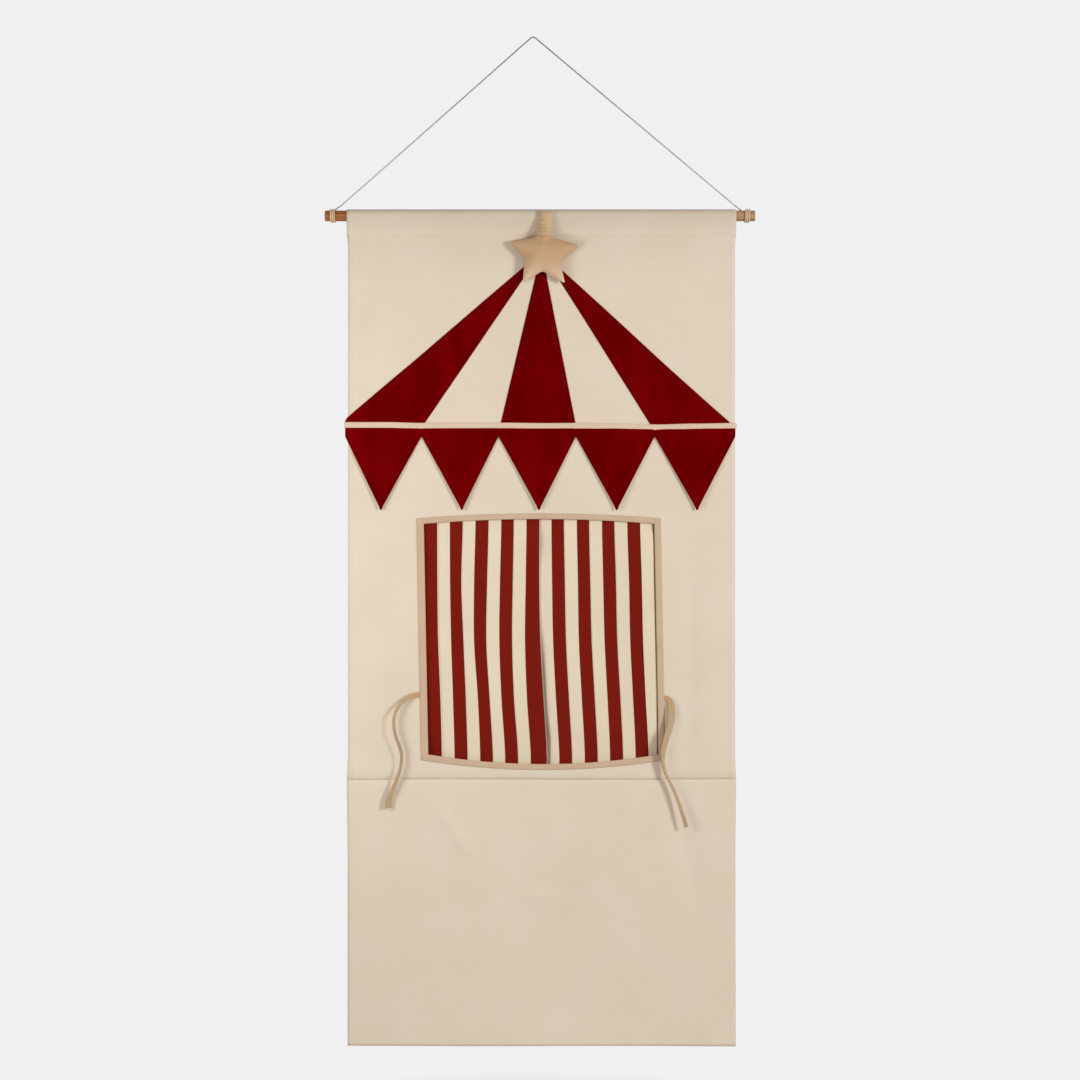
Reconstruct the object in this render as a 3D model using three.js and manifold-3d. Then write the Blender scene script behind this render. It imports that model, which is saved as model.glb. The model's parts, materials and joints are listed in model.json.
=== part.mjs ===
// Hanging puppet theatre: a canvas banner on a wooden dowel, held up by one cord over a nail.
// Millimetres. +Z is up, the front faces -Y, +X is the viewer's right.
// The origin is the point where the cord rests on the nail.
import * as THREE from "three";
import { mergeVertices } from "three/addons/utils/BufferGeometryUtils.js";
import Module from "manifold-3d";

// Clearances
const TOUCH_GAP = 0.3; // between two pieces that touch
const CUT_OVERRUN = 5; // how far a cutting solid runs past what it cuts
const MERGE_TOLERANCE = 0.0001; // points closer than this are one point

// Dowel and where it hangs
const DOWEL_LENGTH = 800;
const DOWEL_DIAMETER = 20;
const DOWEL_CHAMFER = 1;
const DOWEL_SIDES = 48;
const DOWEL_DROP = 331; // from the nail down to the dowel's axis
const DOWEL_OFFSET = 13; // the dowel's middle lies right of the nail
const BANNER_OFFSET = 2.8; // the banner's middle lies right of the dowel's

// Cord and its windings on the dowel
const CORD_DIAMETER = 2.8;
const CORD_SIDES = 8;
const WINDING_TURNS = 3;
const WINDING_STEPS = 24;
const WINDING_SIDES = 6;
const WINDING_SPACE = 0.55; // between one turn and the next
const WINDING_INSET = 9.3; // from the dowel's end to the first turn's axis

// Canvas
const CANVAS_THICKNESS = 1.4;
const BANNER_WIDTH = 724;
const SEAM_DROP = 1047.7; // from the dowel's axis to the seam of the two panels
const HEM_DROP = 1544.4; // from the dowel's axis to the bottom hem
const SLEEVE_STITCH_DROP = 36.8; // from the dowel's axis to the stitching under it
const SLEEVE_ALLOWANCE = 4; // folded canvas below that stitching
const SLEEVE_ARC_SEGMENTS = 18;
const HEM_WAVE = 3; // how far the lower panel's folds stand out at its hem
const HEM_WAVE_COUNT = 1.5;
const LOWER_PANEL_COLUMNS = 24;
const LOWER_PANEL_ROWS = 6;

// Roof, eave tape and pennants
const VELVET_THICKNESS = 1.6;
const ROOF_WIDTH = 726;
const ROOF_SHIFT = -2.3; // the roof's middle lies left of the banner's
// The hand-cut gores and pennants are uneven: their seams as shares of the roof's width, from its left
const GORE_SEAM_SHARES = [0, 0.203, 0.399, 0.59, 0.783, 0.988];
const PENNANT_SEAM_SHARES = [0, 0.196, 0.393, 0.591, 0.793, 1];
const PENNANT_TIP_SHARES = [0.462, 0.522, 0.531, 0.516, 0.52]; // across each pennant
const ROOF_APEX_DROP = 67.2;
const ROOF_START = 24; // the velvet starts this far below the apex, under the star
const EAVE_DROP = 383.5; // from the dowel's axis to the tape's upper edge
const EAVE_TAPE_HEIGHT = 11;
const EAVE_TAPE_THICKNESS = 2.9;
const EAVE_TAPE_OVERHANG = 2; // past the roof at each side
const PENNANT_HEIGHT = 152.5;
const PENNANT_STRAIGHT = 16; // upright part of a pennant's sides
const PENNANT_THICKNESS = 2.2;
const PENNANT_SPACE = 0.6; // between two pennants
const PENNANT_TIP_ROUND = 7; // height of the rounded tip
const OUTLINE_SEGMENTS = 10;

// Star
const STAR_DROP = 68.1;
const STAR_RADIUS = 71;
const STAR_TOP_END_WIDTH = 24; // the top arm is blunt
const STAR_FRONT_CROWN = 17;
const STAR_BACK_CROWN = 9;
const STAR_SEAM_THICKNESS = 2;
// Arms and the notches after them, anticlockwise from the top arm, and their shares of the radius
const STAR_ARM_DEGREES = [80, 162, 240.5, 305.5, 370];
const STAR_ARM_SHARES = [1.03, 0.91, 0.97, 1.03, 1];
const STAR_NOTCH_DEGREES = [117, 200, 273, 331, 412];
const STAR_NOTCH_SHARES = [0.46, 0.49, 0.53, 0.59, 0.52];
const STAR_EDGE_STEPS = 4;
const STAR_RING_SHARES = [0.2, 0.4, 0.6, 0.78, 0.92, 1];
const STAR_ARM_THINNING_SHARE = 0.35; // how much thinner the crown gets out along an arm
const STAR_TIP_STANDOFF = 5; // from the sleeve to the top arm's tip, which the sleeve pushes forward
const STAR_LEAN_START = 20; // the top arm starts to lean this far above the star's middle

// Stage window, measured over its binding
const WINDOW_WIDTH = 453;
const WINDOW_HEIGHT = 449; // at its corners
const WINDOW_DROP = 563; // from the dowel's axis to its upper corners
const WINDOW_TOP_SHIFT = -5.6; // its upper edge lies left of the banner's middle
const WINDOW_BOTTOM_SHIFT = 2.7; // its lower edge lies right of it
const WINDOW_TOP_BOW = 9;
const WINDOW_BOTTOM_BOW = 18;
const BINDING_LEFT_WIDTH = 12.5;
const BINDING_RIGHT_WIDTH = 10.5;
const BINDING_LONG_WIDTH = 9.5; // along the top and the bottom
const BINDING_THICKNESS = 1;

// Curtains
const CURTAIN_THICKNESS = 1;
const CURTAIN_STANDOFF = 2.9; // from the canvas's back to the curtains' front
const CURTAIN_MEET = 2; // where the two curtains meet, from the banner's middle
const CURTAIN_LENGTH = 476;
const CURTAIN_FOLD_DEPTH = 1.5;
const STRIPE_WIDTH = 24;
const STRIPE_COUNT = 9; // stripes in one curtain
const STRIPES_PER_FOLD = 2;
const STRIPE_COLUMNS = 4;
const HEADING_DROP = 546; // from the dowel's axis to the curtains' upper edge
const HEADING_HEIGHT = 16;
const HEADER_TAPE_HEIGHT = 13;
const HEADER_TAPE_OVERHANG = 6;

// Ties
const TIE_WIDTH = 9;
const TIE_THICKNESS = 1.6;
const TIE_EDGE = 0.5; // bevel along a tie's edges

// Routes of the cord and the ties, chosen by hand, from the nail
const CORD_ROUTE = [
  [-367.65, 11.7, -327.9], [-367.4, 11.7, -326.1], [-366.62, 11.68, -324.54], [-365.67, 11.65, -323.4],
  [-350, 11.14, -309.39], [-300, 9.55, -264.67], [-240, 7.64, -211], [-180, 5.73, -157.34],
  [-120, 3.82, -103.68], [-60, 1.91, -50.01], [-20, 0.64, -14.24], [-8, 0.25, -3.5],
  [-4.53, 0.1, -0.42], [-2.36, 0, 0.94], [0.15, 0, 1.4], [2.54, 0, 0.98], [4.65, 0.1, -0.24],
  [8, 0.24, -3.03], [20, 0.6, -13.05], [60, 1.79, -46.46], [120, 3.58, -96.56], [180, 5.37, -146.67],
  [250, 7.46, -205.13], [320, 9.55, -263.58], [375, 11.19, -309.51], [391.51, 11.65, -323.3],
  [392.62, 11.68, -324.54], [393.39, 11.7, -326.1], [393.65, 11.7, -327.9],
];
const LEFT_TIE_ROUTE = [
  [-210.65, -1.8, -1221.6], [-215.5, -2.4, -1221.8], [-222.5, -4.6, -1223], [-230.5, -7.6, -1226],
  [-239.5, -10.6, -1232.4], [-248.7, -13.2, -1242.6], [-255.4, -15, -1254.6], [-258.2, -16, -1268.5],
  [-257.6, -16.3, -1284], [-254.6, -16, -1299], [-248.6, -15.2, -1314.5], [-244.6, -14.2, -1329],
  [-244.2, -13.2, -1344.5], [-247.4, -12.2, -1362.5], [-253.2, -11.3, -1379], [-259.2, -10.4, -1394.5],
  [-265, -9.6, -1408.5], [-268.2, -9, -1420], [-267.8, -8.4, -1432],
];
const RIGHT_TIE_ROUTE = [
  [243.3, -1.8, -1228], [247.6, -2.4, -1228], [251.6, -4, -1230.8], [254.8, -5.8, -1236.6],
  [256.6, -7.6, -1245], [257.2, -9, -1256], [256.4, -10, -1267.5], [253.6, -10.8, -1281],
  [249.6, -11.4, -1295], [245.4, -11.8, -1310], [241.6, -12, -1325], [240.2, -12.1, -1340],
  [242.2, -12.2, -1354.5], [247, -12.3, -1368.5], [253.6, -12.5, -1382], [260.2, -12.8, -1395.5],
  [266.4, -13.1, -1410], [272, -13.4, -1426], [277.4, -13.7, -1443], [282.4, -13.9, -1459.5],
  [284.6, -14, -1467.5],
];

// Planes worked out from the sizes above, from the canvas's middle, which is y = 0
const DOWEL_RADIUS = DOWEL_DIAMETER / 2;
const CORD_RADIUS = CORD_DIAMETER / 2;
const CANVAS_FACE = CANVAS_THICKNESS / 2;
const APPLIQUE_BACK = -(CANVAS_FACE + TOUCH_GAP);
const SLEEVE_RADIUS = DOWEL_RADIUS + TOUCH_GAP + CANVAS_THICKNESS;
const EAVE_FRONT = APPLIQUE_BACK - EAVE_TAPE_THICKNESS;
const CURTAIN_FRONT = CANVAS_FACE + CURTAIN_STANDOFF;
const CURTAIN_BACK = CURTAIN_FRONT + CURTAIN_THICKNESS + CURTAIN_FOLD_DEPTH;
const FOLD_WIDTH = STRIPE_WIDTH * STRIPES_PER_FOLD;
const CURTAIN_WIDTH = STRIPE_WIDTH * STRIPE_COUNT;

const wasm = await Module();
wasm.setup();

const finish = (color, roughness, metalness = 0) =>
  new THREE.MeshStandardMaterial({ color, roughness, metalness });
const materials = {
  wood: finish(0x93603a, 0.65),
  cord: finish(0xcfc2ae, 0.9),
  canvas: finish(0xe2d5c1, 0.95),
  velvet: finish(0x6e0508, 0.85),
  star: finish(0xd0aa82, 0.95),
  binding: finish(0xd1b098, 0.9),
  red: finish(0x7c1c0e, 0.9),
  cream: finish(0xe8dcc6, 0.9),
};

const part = new THREE.Group();
const dowelGroup = new THREE.Group();
dowelGroup.position.set(DOWEL_OFFSET, 0, -DOWEL_DROP);
const banner = new THREE.Group();
banner.position.set(BANNER_OFFSET, 0, 0);
dowelGroup.add(banner);
part.add(dowelGroup);

function addPiece(parent, name, geometry, material) {
  const mesh = new THREE.Mesh(geometry, material);
  mesh.name = name;
  parent.add(mesh);
  return mesh;
}

function toSolid(geometry) {
  const bare = geometry.clone();
  bare.deleteAttribute("normal");
  bare.deleteAttribute("uv");
  const merged = mergeVertices(bare, MERGE_TOLERANCE);
  return new wasm.Manifold(new wasm.Mesh({
    numProp: 3,
    vertProperties: new Float32Array(merged.attributes.position.array),
    triVerts: Uint32Array.from(merged.index.array),
  }));
}

function toGeometry(solid) {
  const { vertProperties, triVerts } = solid.getMesh();
  return meshOf(vertProperties, triVerts);
}

function meshOf(positions, indices) {
  const geometry = new THREE.BufferGeometry();
  geometry.setAttribute("position", new THREE.BufferAttribute(Float32Array.from(positions), 3));
  geometry.setIndex(Array.from(indices));
  geometry.computeVertexNormals();
  return geometry;
}

// A flat piece of an upright outline, from its back plane towards the front
function plate(outline, back, thickness) {
  const geometry = new THREE.ExtrudeGeometry(outline, {
    depth: thickness, bevelEnabled: false, curveSegments: OUTLINE_SEGMENTS,
  });
  geometry.rotateX(Math.PI / 2);
  return geometry.translate(0, back, 0);
}

function rectangle(left, right, bottom, top) {
  const outline = new THREE.Shape();
  outline.moveTo(left, bottom);
  outline.lineTo(right, bottom);
  outline.lineTo(right, top);
  outline.lineTo(left, top);
  outline.closePath();
  return outline;
}

// A hanging sheet over columns and rows, whose middle follows depthAt(x, z)
function hangingSheet(columns, rows, depthAt, thickness) {
  const positions = [];
  const indices = [];
  const across = columns.length;
  const layer = across * rows.length;
  for (const side of [-1, 1]) {
    for (const z of rows) {
      for (const x of columns) positions.push(x, depthAt(x, z) + side * thickness / 2, z);
    }
  }
  const quad = (a, b, c, d) => indices.push(a, b, c, a, c, d);
  for (let row = 0; row < rows.length - 1; row++) {
    for (let column = 0; column < across - 1; column++) {
      const low = row * across + column;
      const high = low + across;
      quad(low, low + 1, high + 1, high);
      quad(layer + low, layer + high, layer + high + 1, layer + low + 1);
    }
    const left = row * across;
    const right = left + across - 1;
    quad(left, left + across, layer + left + across, layer + left);
    quad(right, layer + right, layer + right + across, right + across);
  }
  const topRow = (rows.length - 1) * across;
  for (let column = 0; column < across - 1; column++) {
    quad(column, layer + column, layer + column + 1, column + 1);
    quad(topRow + column, topRow + column + 1, layer + topRow + column + 1, layer + topRow + column);
  }
  return meshOf(positions, indices);
}

function evenSteps(start, end, count) {
  return Array.from({ length: count + 1 }, (_, index) => start + (end - start) * index / count);
}

// A hand-drawn route whose sections stand exactly at its points, with their x axis to the front
class Route extends THREE.CatmullRomCurve3 {
  constructor(points) {
    super(points.map((point) => new THREE.Vector3(...point)));
  }

  getPointAt(share, target) {
    return this.getPoint(share, target);
  }

  getTangentAt(share, target) {
    return this.getTangent(share, target);
  }

  computeFrenetFrames(segments) {
    const tangents = evenSteps(0, 1, segments).map((share) => this.getTangentAt(share));
    const normals = tangents.map((tangent) =>
      new THREE.Vector3(0, -1, 0).addScaledVector(tangent, tangent.y).normalize());
    const binormals = tangents.map((tangent, index) =>
      new THREE.Vector3().crossVectors(tangent, normals[index]));
    return { tangents, normals, binormals };
  }
}

function alongRoute(section, points) {
  return new THREE.ExtrudeGeometry(section, {
    steps: points.length - 1, extrudePath: new Route(points), curveSegments: 1,
  });
}

function polygon(radius, sides) {
  const corners = evenSteps(0, 2 * Math.PI, sides).slice(0, sides);
  return new THREE.Shape(corners.map((angle) =>
    new THREE.Vector2(radius * Math.cos(angle), radius * Math.sin(angle))));
}

function makeDowel() {
  const half = DOWEL_LENGTH / 2;
  const rim = DOWEL_RADIUS - DOWEL_CHAMFER;
  const profile = [
    [0, -half], [rim, -half], [DOWEL_RADIUS, -half + DOWEL_CHAMFER],
    [DOWEL_RADIUS, half - DOWEL_CHAMFER], [rim, half], [0, half],
  ].map(([radius, along]) => new THREE.Vector2(radius, along));
  return new THREE.LatheGeometry(profile, DOWEL_SIDES).rotateZ(-Math.PI / 2);
}

// The points of one winding with the direction away from the dowel at each of them.
// It starts at the back, goes round the dowel and leaves it upwards at the back.
function windingRoute(endX, inward) {
  const radius = DOWEL_RADIUS + TOUCH_GAP + CORD_RADIUS;
  const pitch = CORD_DIAMETER + WINDING_SPACE;
  const firstX = endX + inward * WINDING_INSET;
  const route = [];
  const place = (turns, rise) => {
    const angle = 2 * Math.PI * turns;
    const away = new THREE.Vector3(0, Math.cos(angle), Math.sin(angle));
    const point = away.clone().multiplyScalar(radius);
    point.x = firstX + inward * pitch * turns;
    point.z += rise;
    route.push({ point, away });
  };
  place(0, -CORD_DIAMETER);
  for (const turns of evenSteps(0, WINDING_TURNS, WINDING_TURNS * WINDING_STEPS)) place(turns, 0);
  place(WINDING_TURNS, CORD_DIAMETER);
  return route;
}

function sweepWinding(route) {
  const positions = [];
  const indices = [];
  route.forEach(({ point, away }, index) => {
    const before = route[Math.max(index - 1, 0)].point;
    const after = route[Math.min(index + 1, route.length - 1)].point;
    const ahead = after.clone().sub(before).normalize();
    const sideways = new THREE.Vector3().crossVectors(ahead, away).normalize();
    for (const angle of evenSteps(0, 2 * Math.PI, WINDING_SIDES).slice(0, WINDING_SIDES)) {
      const corner = point.clone()
        .addScaledVector(away, CORD_RADIUS * Math.cos(angle))
        .addScaledVector(sideways, CORD_RADIUS * Math.sin(angle));
      positions.push(corner.x, corner.y, corner.z);
    }
  });
  for (let ring = 0; ring < route.length - 1; ring++) {
    for (let side = 0; side < WINDING_SIDES; side++) {
      const a = ring * WINDING_SIDES + side;
      const b = ring * WINDING_SIDES + (side + 1) % WINDING_SIDES;
      indices.push(a, b + WINDING_SIDES, a + WINDING_SIDES, a, b, b + WINDING_SIDES);
    }
  }
  const last = (route.length - 1) * WINDING_SIDES;
  for (let side = 1; side < WINDING_SIDES - 1; side++) {
    indices.push(0, side + 1, side, last, last + side, last + side + 1);
  }
  return meshOf(positions, indices);
}

// The least gap between a winding and itself, past the stretch that follows each point
function leastOwnGap(route) {
  const points = route.map(({ point }) => point);
  let least = Infinity;
  for (let first = 0; first < points.length; first++) {
    for (let second = first + WINDING_STEPS / 2; second < points.length; second++) {
      least = Math.min(least, points[first].distanceTo(points[second]) - CORD_DIAMETER);
    }
  }
  return least;
}

function makeWinding(name, endX, inward) {
  const route = windingRoute(endX, inward);
  console.log(`${name}: least gap to itself ${leastOwnGap(route).toFixed(3)} mm`);
  return sweepWinding(route);
}

// The sleeve round the dowel: an outline of the canvas in the Y-Z plane, swept across the banner
function makeSleeve() {
  const outer = SLEEVE_RADIUS;
  const inner = DOWEL_RADIUS + TOUCH_GAP;
  const lean = (radius) => Math.acos(radius / SLEEVE_STITCH_DROP);
  const down = -Math.PI / 2;
  const outline = new THREE.Shape();
  outline.absarc(0, 0, outer, down + lean(outer), down - lean(outer) + 2 * Math.PI, false);
  outline.lineTo(-CANVAS_THICKNESS, -SLEEVE_STITCH_DROP);
  outline.lineTo(-CANVAS_THICKNESS, -SLEEVE_STITCH_DROP - SLEEVE_ALLOWANCE);
  outline.lineTo(CANVAS_THICKNESS, -SLEEVE_STITCH_DROP - SLEEVE_ALLOWANCE);
  outline.lineTo(CANVAS_THICKNESS, -SLEEVE_STITCH_DROP);
  outline.closePath();
  const pocket = new THREE.Path();
  pocket.absarc(0, 0, inner, down + lean(inner), down - lean(inner) + 2 * Math.PI, false);
  pocket.lineTo(0, CANVAS_THICKNESS - SLEEVE_STITCH_DROP);
  pocket.closePath();
  outline.holes.push(pocket);
  const geometry = new THREE.ExtrudeGeometry(outline, {
    depth: BANNER_WIDTH, bevelEnabled: false, curveSegments: SLEEVE_ARC_SEGMENTS,
  });
  geometry.applyMatrix4(new THREE.Matrix4().set(
    0, 0, 1, -BANNER_WIDTH / 2,
    1, 0, 0, 0,
    0, 1, 0, 0,
    0, 0, 0, 1,
  ));
  return geometry;
}

// The window's corners and the tops of its bowed edges, inset from the binding's outer edge
function windowCorners(inset) {
  const left = inset.left - WINDOW_WIDTH / 2;
  const right = WINDOW_WIDTH / 2 - inset.right;
  const top = -WINDOW_DROP - inset.long;
  const bottom = -WINDOW_DROP - WINDOW_HEIGHT + inset.long;
  return {
    topLeft: [WINDOW_TOP_SHIFT + left, top],
    topRight: [WINDOW_TOP_SHIFT + right, top],
    bottomRight: [WINDOW_BOTTOM_SHIFT + right, bottom],
    bottomLeft: [WINDOW_BOTTOM_SHIFT + left, bottom],
    topPull: [WINDOW_TOP_SHIFT, top + 2 * WINDOW_TOP_BOW],
    bottomPull: [WINDOW_BOTTOM_SHIFT, bottom - 2 * WINDOW_BOTTOM_BOW],
  };
}

// The insets of a line that runs this far outside the binding's inner edge
function bindingInset(outside) {
  return {
    left: BINDING_LEFT_WIDTH - outside, right: BINDING_RIGHT_WIDTH - outside, long: BINDING_LONG_WIDTH - outside,
  };
}

function windowOutline(Outline, inset) {
  const { topLeft, topRight, bottomRight, bottomLeft, topPull, bottomPull } = windowCorners(inset);
  const outline = new Outline();
  outline.moveTo(...topLeft);
  outline.quadraticCurveTo(...topPull, ...topRight);
  outline.lineTo(...bottomRight);
  outline.quadraticCurveTo(...bottomPull, ...bottomLeft);
  outline.closePath();
  return outline;
}

function makeUpperPanel() {
  const half = BANNER_WIDTH / 2;
  const top = -SLEEVE_STITCH_DROP - SLEEVE_ALLOWANCE / 2;
  const outline = rectangle(-half, half, -SEAM_DROP, top);
  outline.holes.push(windowOutline(THREE.Path, bindingInset(BINDING_THICKNESS + TOUCH_GAP)));
  const sheet = toSolid(plate(outline, CANVAS_FACE, CANVAS_THICKNESS));
  return toGeometry(sheet.add(toSolid(makeSleeve())));
}

function makeLowerPanel() {
  const half = BANNER_WIDTH / 2;
  const top = -SEAM_DROP - TOUCH_GAP;
  const wave = (x, z) => {
    const fall = (top - z) / (HEM_DROP - SEAM_DROP);
    return HEM_WAVE * fall * Math.sin(2 * Math.PI * HEM_WAVE_COUNT * x / BANNER_WIDTH);
  };
  return hangingSheet(evenSteps(-half, half, LOWER_PANEL_COLUMNS),
    evenSteps(-HEM_DROP, top, LOWER_PANEL_ROWS), wave, CANVAS_THICKNESS);
}

// The place on the eaves at a share of the roof's width
function eaveAt(share) {
  return ROOF_SHIFT + ROOF_WIDTH * (share - 0.5);
}

// One velvet gore of the roof, cut off below the apex, where the star hides its start
function makeGore(index) {
  const left = eaveAt(GORE_SEAM_SHARES[index]);
  const right = eaveAt(GORE_SEAM_SHARES[index + 1]);
  const height = EAVE_DROP - TOUCH_GAP - ROOF_APEX_DROP;
  const startShare = ROOF_START / height;
  const outline = new THREE.Shape();
  outline.moveTo(left, -EAVE_DROP + TOUCH_GAP);
  outline.lineTo(right, -EAVE_DROP + TOUCH_GAP);
  outline.lineTo(right * startShare, -ROOF_APEX_DROP - ROOF_START);
  outline.lineTo(left * startShare, -ROOF_APEX_DROP - ROOF_START);
  outline.closePath();
  return plate(outline, APPLIQUE_BACK, VELVET_THICKNESS);
}

function makeEaveTape() {
  return plate(rectangle(eaveAt(0) - EAVE_TAPE_OVERHANG, eaveAt(1) + EAVE_TAPE_OVERHANG,
    -EAVE_DROP - EAVE_TAPE_HEIGHT, -EAVE_DROP), APPLIQUE_BACK, EAVE_TAPE_THICKNESS);
}

function makePennant(index) {
  const left = eaveAt(PENNANT_SEAM_SHARES[index]) + PENNANT_SPACE / 2;
  const right = eaveAt(PENNANT_SEAM_SHARES[index + 1]) - PENNANT_SPACE / 2;
  const middle = left + (right - left) * PENNANT_TIP_SHARES[index];
  const top = -EAVE_DROP - EAVE_TAPE_HEIGHT - TOUCH_GAP;
  const tip = top - PENNANT_HEIGHT;
  const taperShare = PENNANT_TIP_ROUND / (PENNANT_HEIGHT - PENNANT_STRAIGHT);
  const tipLeft = middle - (middle - left) * taperShare;
  const tipRight = middle + (right - middle) * taperShare;
  const outline = new THREE.Shape();
  outline.moveTo(left, top);
  outline.lineTo(left, top - PENNANT_STRAIGHT);
  outline.lineTo(tipLeft, tip + PENNANT_TIP_ROUND);
  outline.quadraticCurveTo(middle, tip - PENNANT_TIP_ROUND, tipRight, tip + PENNANT_TIP_ROUND);
  outline.lineTo(right, top - PENNANT_STRAIGHT);
  outline.lineTo(right, top);
  outline.closePath();
  return plate(outline, EAVE_FRONT + PENNANT_THICKNESS, PENNANT_THICKNESS);
}

// The stuffed star: rings of its outline, swelling to a crown at the front and the back
function makeStar() {
  const corner = (reach, side, degrees) => new THREE.Vector2(reach, side)
    .rotateAround(new THREE.Vector2(), THREE.MathUtils.degToRad(degrees));
  const corners = STAR_ARM_DEGREES.flatMap((degrees, arm) => {
    const reach = STAR_RADIUS * STAR_ARM_SHARES[arm];
    const sides = arm === 0 ? [-STAR_TOP_END_WIDTH / 2, STAR_TOP_END_WIDTH / 2] : [0];
    return [
      ...sides.map((side) => corner(reach, side, degrees)),
      corner(STAR_RADIUS * STAR_NOTCH_SHARES[arm], 0, STAR_NOTCH_DEGREES[arm]),
    ];
  });
  const rim = corners.flatMap((start, index) => {
    const next = corners[(index + 1) % corners.length];
    return evenSteps(0, 1, STAR_EDGE_STEPS).slice(0, STAR_EDGE_STEPS)
      .map((share) => start.clone().lerp(next, share));
  });
  const seam = STAR_SEAM_THICKNESS / 2;
  const middle = CANVAS_FACE + TOUCH_GAP + seam + STAR_BACK_CROWN;
  const lean = SLEEVE_RADIUS + TOUCH_GAP + seam + STAR_TIP_STANDOFF - middle;
  const planeAt = (height) => {
    const share = (height - STAR_LEAN_START) / (STAR_RADIUS - STAR_LEAN_START);
    return -middle - lean * Math.max(0, share);
  };
  const positions = [];
  const indices = [];
  const around = rim.length;
  for (const [side, crown] of [[-1, STAR_FRONT_CROWN], [1, STAR_BACK_CROWN]]) {
    positions.push(0, planeAt(0) + side * (seam + crown), 0);
    for (const share of STAR_RING_SHARES) {
      for (const point of rim) {
        const reach = point.length() * share / STAR_RADIUS;
        const swell = Math.sqrt(1 - share * share) * (1 - STAR_ARM_THINNING_SHARE * reach);
        const height = point.y * share;
        positions.push(point.x * share, planeAt(height) + side * (seam + crown * swell), height);
      }
    }
  }
  const layer = 1 + around * STAR_RING_SHARES.length;
  for (let index = 0; index < around; index++) {
    const next = (index + 1) % around;
    indices.push(0, 1 + index, 1 + next, layer, layer + 1 + next, layer + 1 + index);
    for (let ring = 0; ring < STAR_RING_SHARES.length - 1; ring++) {
      const a = 1 + ring * around + index;
      const b = 1 + ring * around + next;
      indices.push(a, a + around, b + around, a, b + around, b);
      indices.push(layer + a, layer + b + around, layer + a + around);
      indices.push(layer + a, layer + b, layer + b + around);
    }
    const rimIndex = 1 + (STAR_RING_SHARES.length - 1) * around;
    indices.push(rimIndex + index, layer + rimIndex + index, layer + rimIndex + next);
    indices.push(rimIndex + index, layer + rimIndex + next, rimIndex + next);
  }
  return meshOf(positions, indices).translate(0, 0, -STAR_DROP);
}

// One side of the window's binding, folded round the edge of the canvas and mitred at its ends
function makeBinding(side) {
  const outer = windowCorners({ left: 0, right: 0, long: 0 });
  const inner = windowCorners(bindingInset(0));
  const back = TOUCH_GAP / Math.SQRT2;
  const outline = new THREE.Shape();
  if (side === "top" || side === "bottom") {
    const [from, to, pull] = [`${side}Left`, `${side}Right`, `${side}Pull`];
    outline.moveTo(outer[from][0] + back, outer[from][1]);
    outline.quadraticCurveTo(...outer[pull], outer[to][0] - back, outer[to][1]);
    outline.lineTo(inner[to][0] - back, inner[to][1]);
    outline.quadraticCurveTo(...inner[pull], inner[from][0] + back, inner[from][1]);
  } else {
    const upper = side === "left" ? "topLeft" : "topRight";
    const lower = side === "left" ? "bottomLeft" : "bottomRight";
    outline.moveTo(outer[upper][0], outer[upper][1] - back);
    outline.lineTo(inner[upper][0], inner[upper][1] - back);
    outline.lineTo(inner[lower][0], inner[lower][1] + back);
    outline.lineTo(outer[lower][0], outer[lower][1] + back);
  }
  outline.closePath();
  const legs = CANVAS_FACE + TOUCH_GAP + BINDING_THICKNESS;
  const body = toSolid(plate(outline, legs, 2 * legs));
  return toGeometry(body.subtract(bindingSlot()));
}

// The room that the canvas takes inside the binding
function bindingSlot() {
  const half = WINDOW_WIDTH / 2 + Math.abs(WINDOW_TOP_SHIFT) + Math.abs(WINDOW_BOTTOM_SHIFT) + CUT_OVERRUN;
  const top = -WINDOW_DROP + WINDOW_TOP_BOW + CUT_OVERRUN;
  const bottom = -WINDOW_DROP - WINDOW_HEIGHT - WINDOW_BOTTOM_BOW - CUT_OVERRUN;
  const outline = rectangle(-half, half, bottom, top);
  outline.holes.push(windowOutline(THREE.Path, bindingInset(BINDING_THICKNESS)));
  const slotFace = CANVAS_FACE + TOUCH_GAP;
  return toSolid(plate(outline, slotFace, 2 * slotFace));
}

function makeTie(points) {
  const halfWidth = TIE_WIDTH / 2;
  const halfThickness = TIE_THICKNESS / 2;
  const section = new THREE.Shape([
    [halfThickness, TIE_EDGE - halfWidth], [halfThickness, halfWidth - TIE_EDGE],
    [halfThickness - TIE_EDGE, halfWidth], [TIE_EDGE - halfThickness, halfWidth],
    [-halfThickness, halfWidth - TIE_EDGE], [-halfThickness, TIE_EDGE - halfWidth],
    [TIE_EDGE - halfThickness, -halfWidth], [halfThickness - TIE_EDGE, -halfWidth],
  ].map(([x, y]) => new THREE.Vector2(x, y)));
  return alongRoute(section, points);
}

function makeHeaderTape() {
  const half = CURTAIN_WIDTH + HEADER_TAPE_OVERHANG;
  const bottom = -HEADING_DROP + TOUCH_GAP;
  const front = CANVAS_FACE + TOUCH_GAP;
  return plate(rectangle(CURTAIN_MEET - half, CURTAIN_MEET + half, bottom, bottom + HEADER_TAPE_HEIGHT),
    CURTAIN_BACK, CURTAIN_BACK - front);
}

// The stitched top of a curtain. Inward is 1 for the left curtain and -1 for the right one.
function makeHeading(inward) {
  const meet = CURTAIN_MEET - inward * TOUCH_GAP / 2;
  const outer = CURTAIN_MEET - inward * CURTAIN_WIDTH;
  return plate(rectangle(Math.min(meet, outer), Math.max(meet, outer),
    -HEADING_DROP - HEADING_HEIGHT, -HEADING_DROP), CURTAIN_BACK, CURTAIN_BACK - CURTAIN_FRONT);
}

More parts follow.
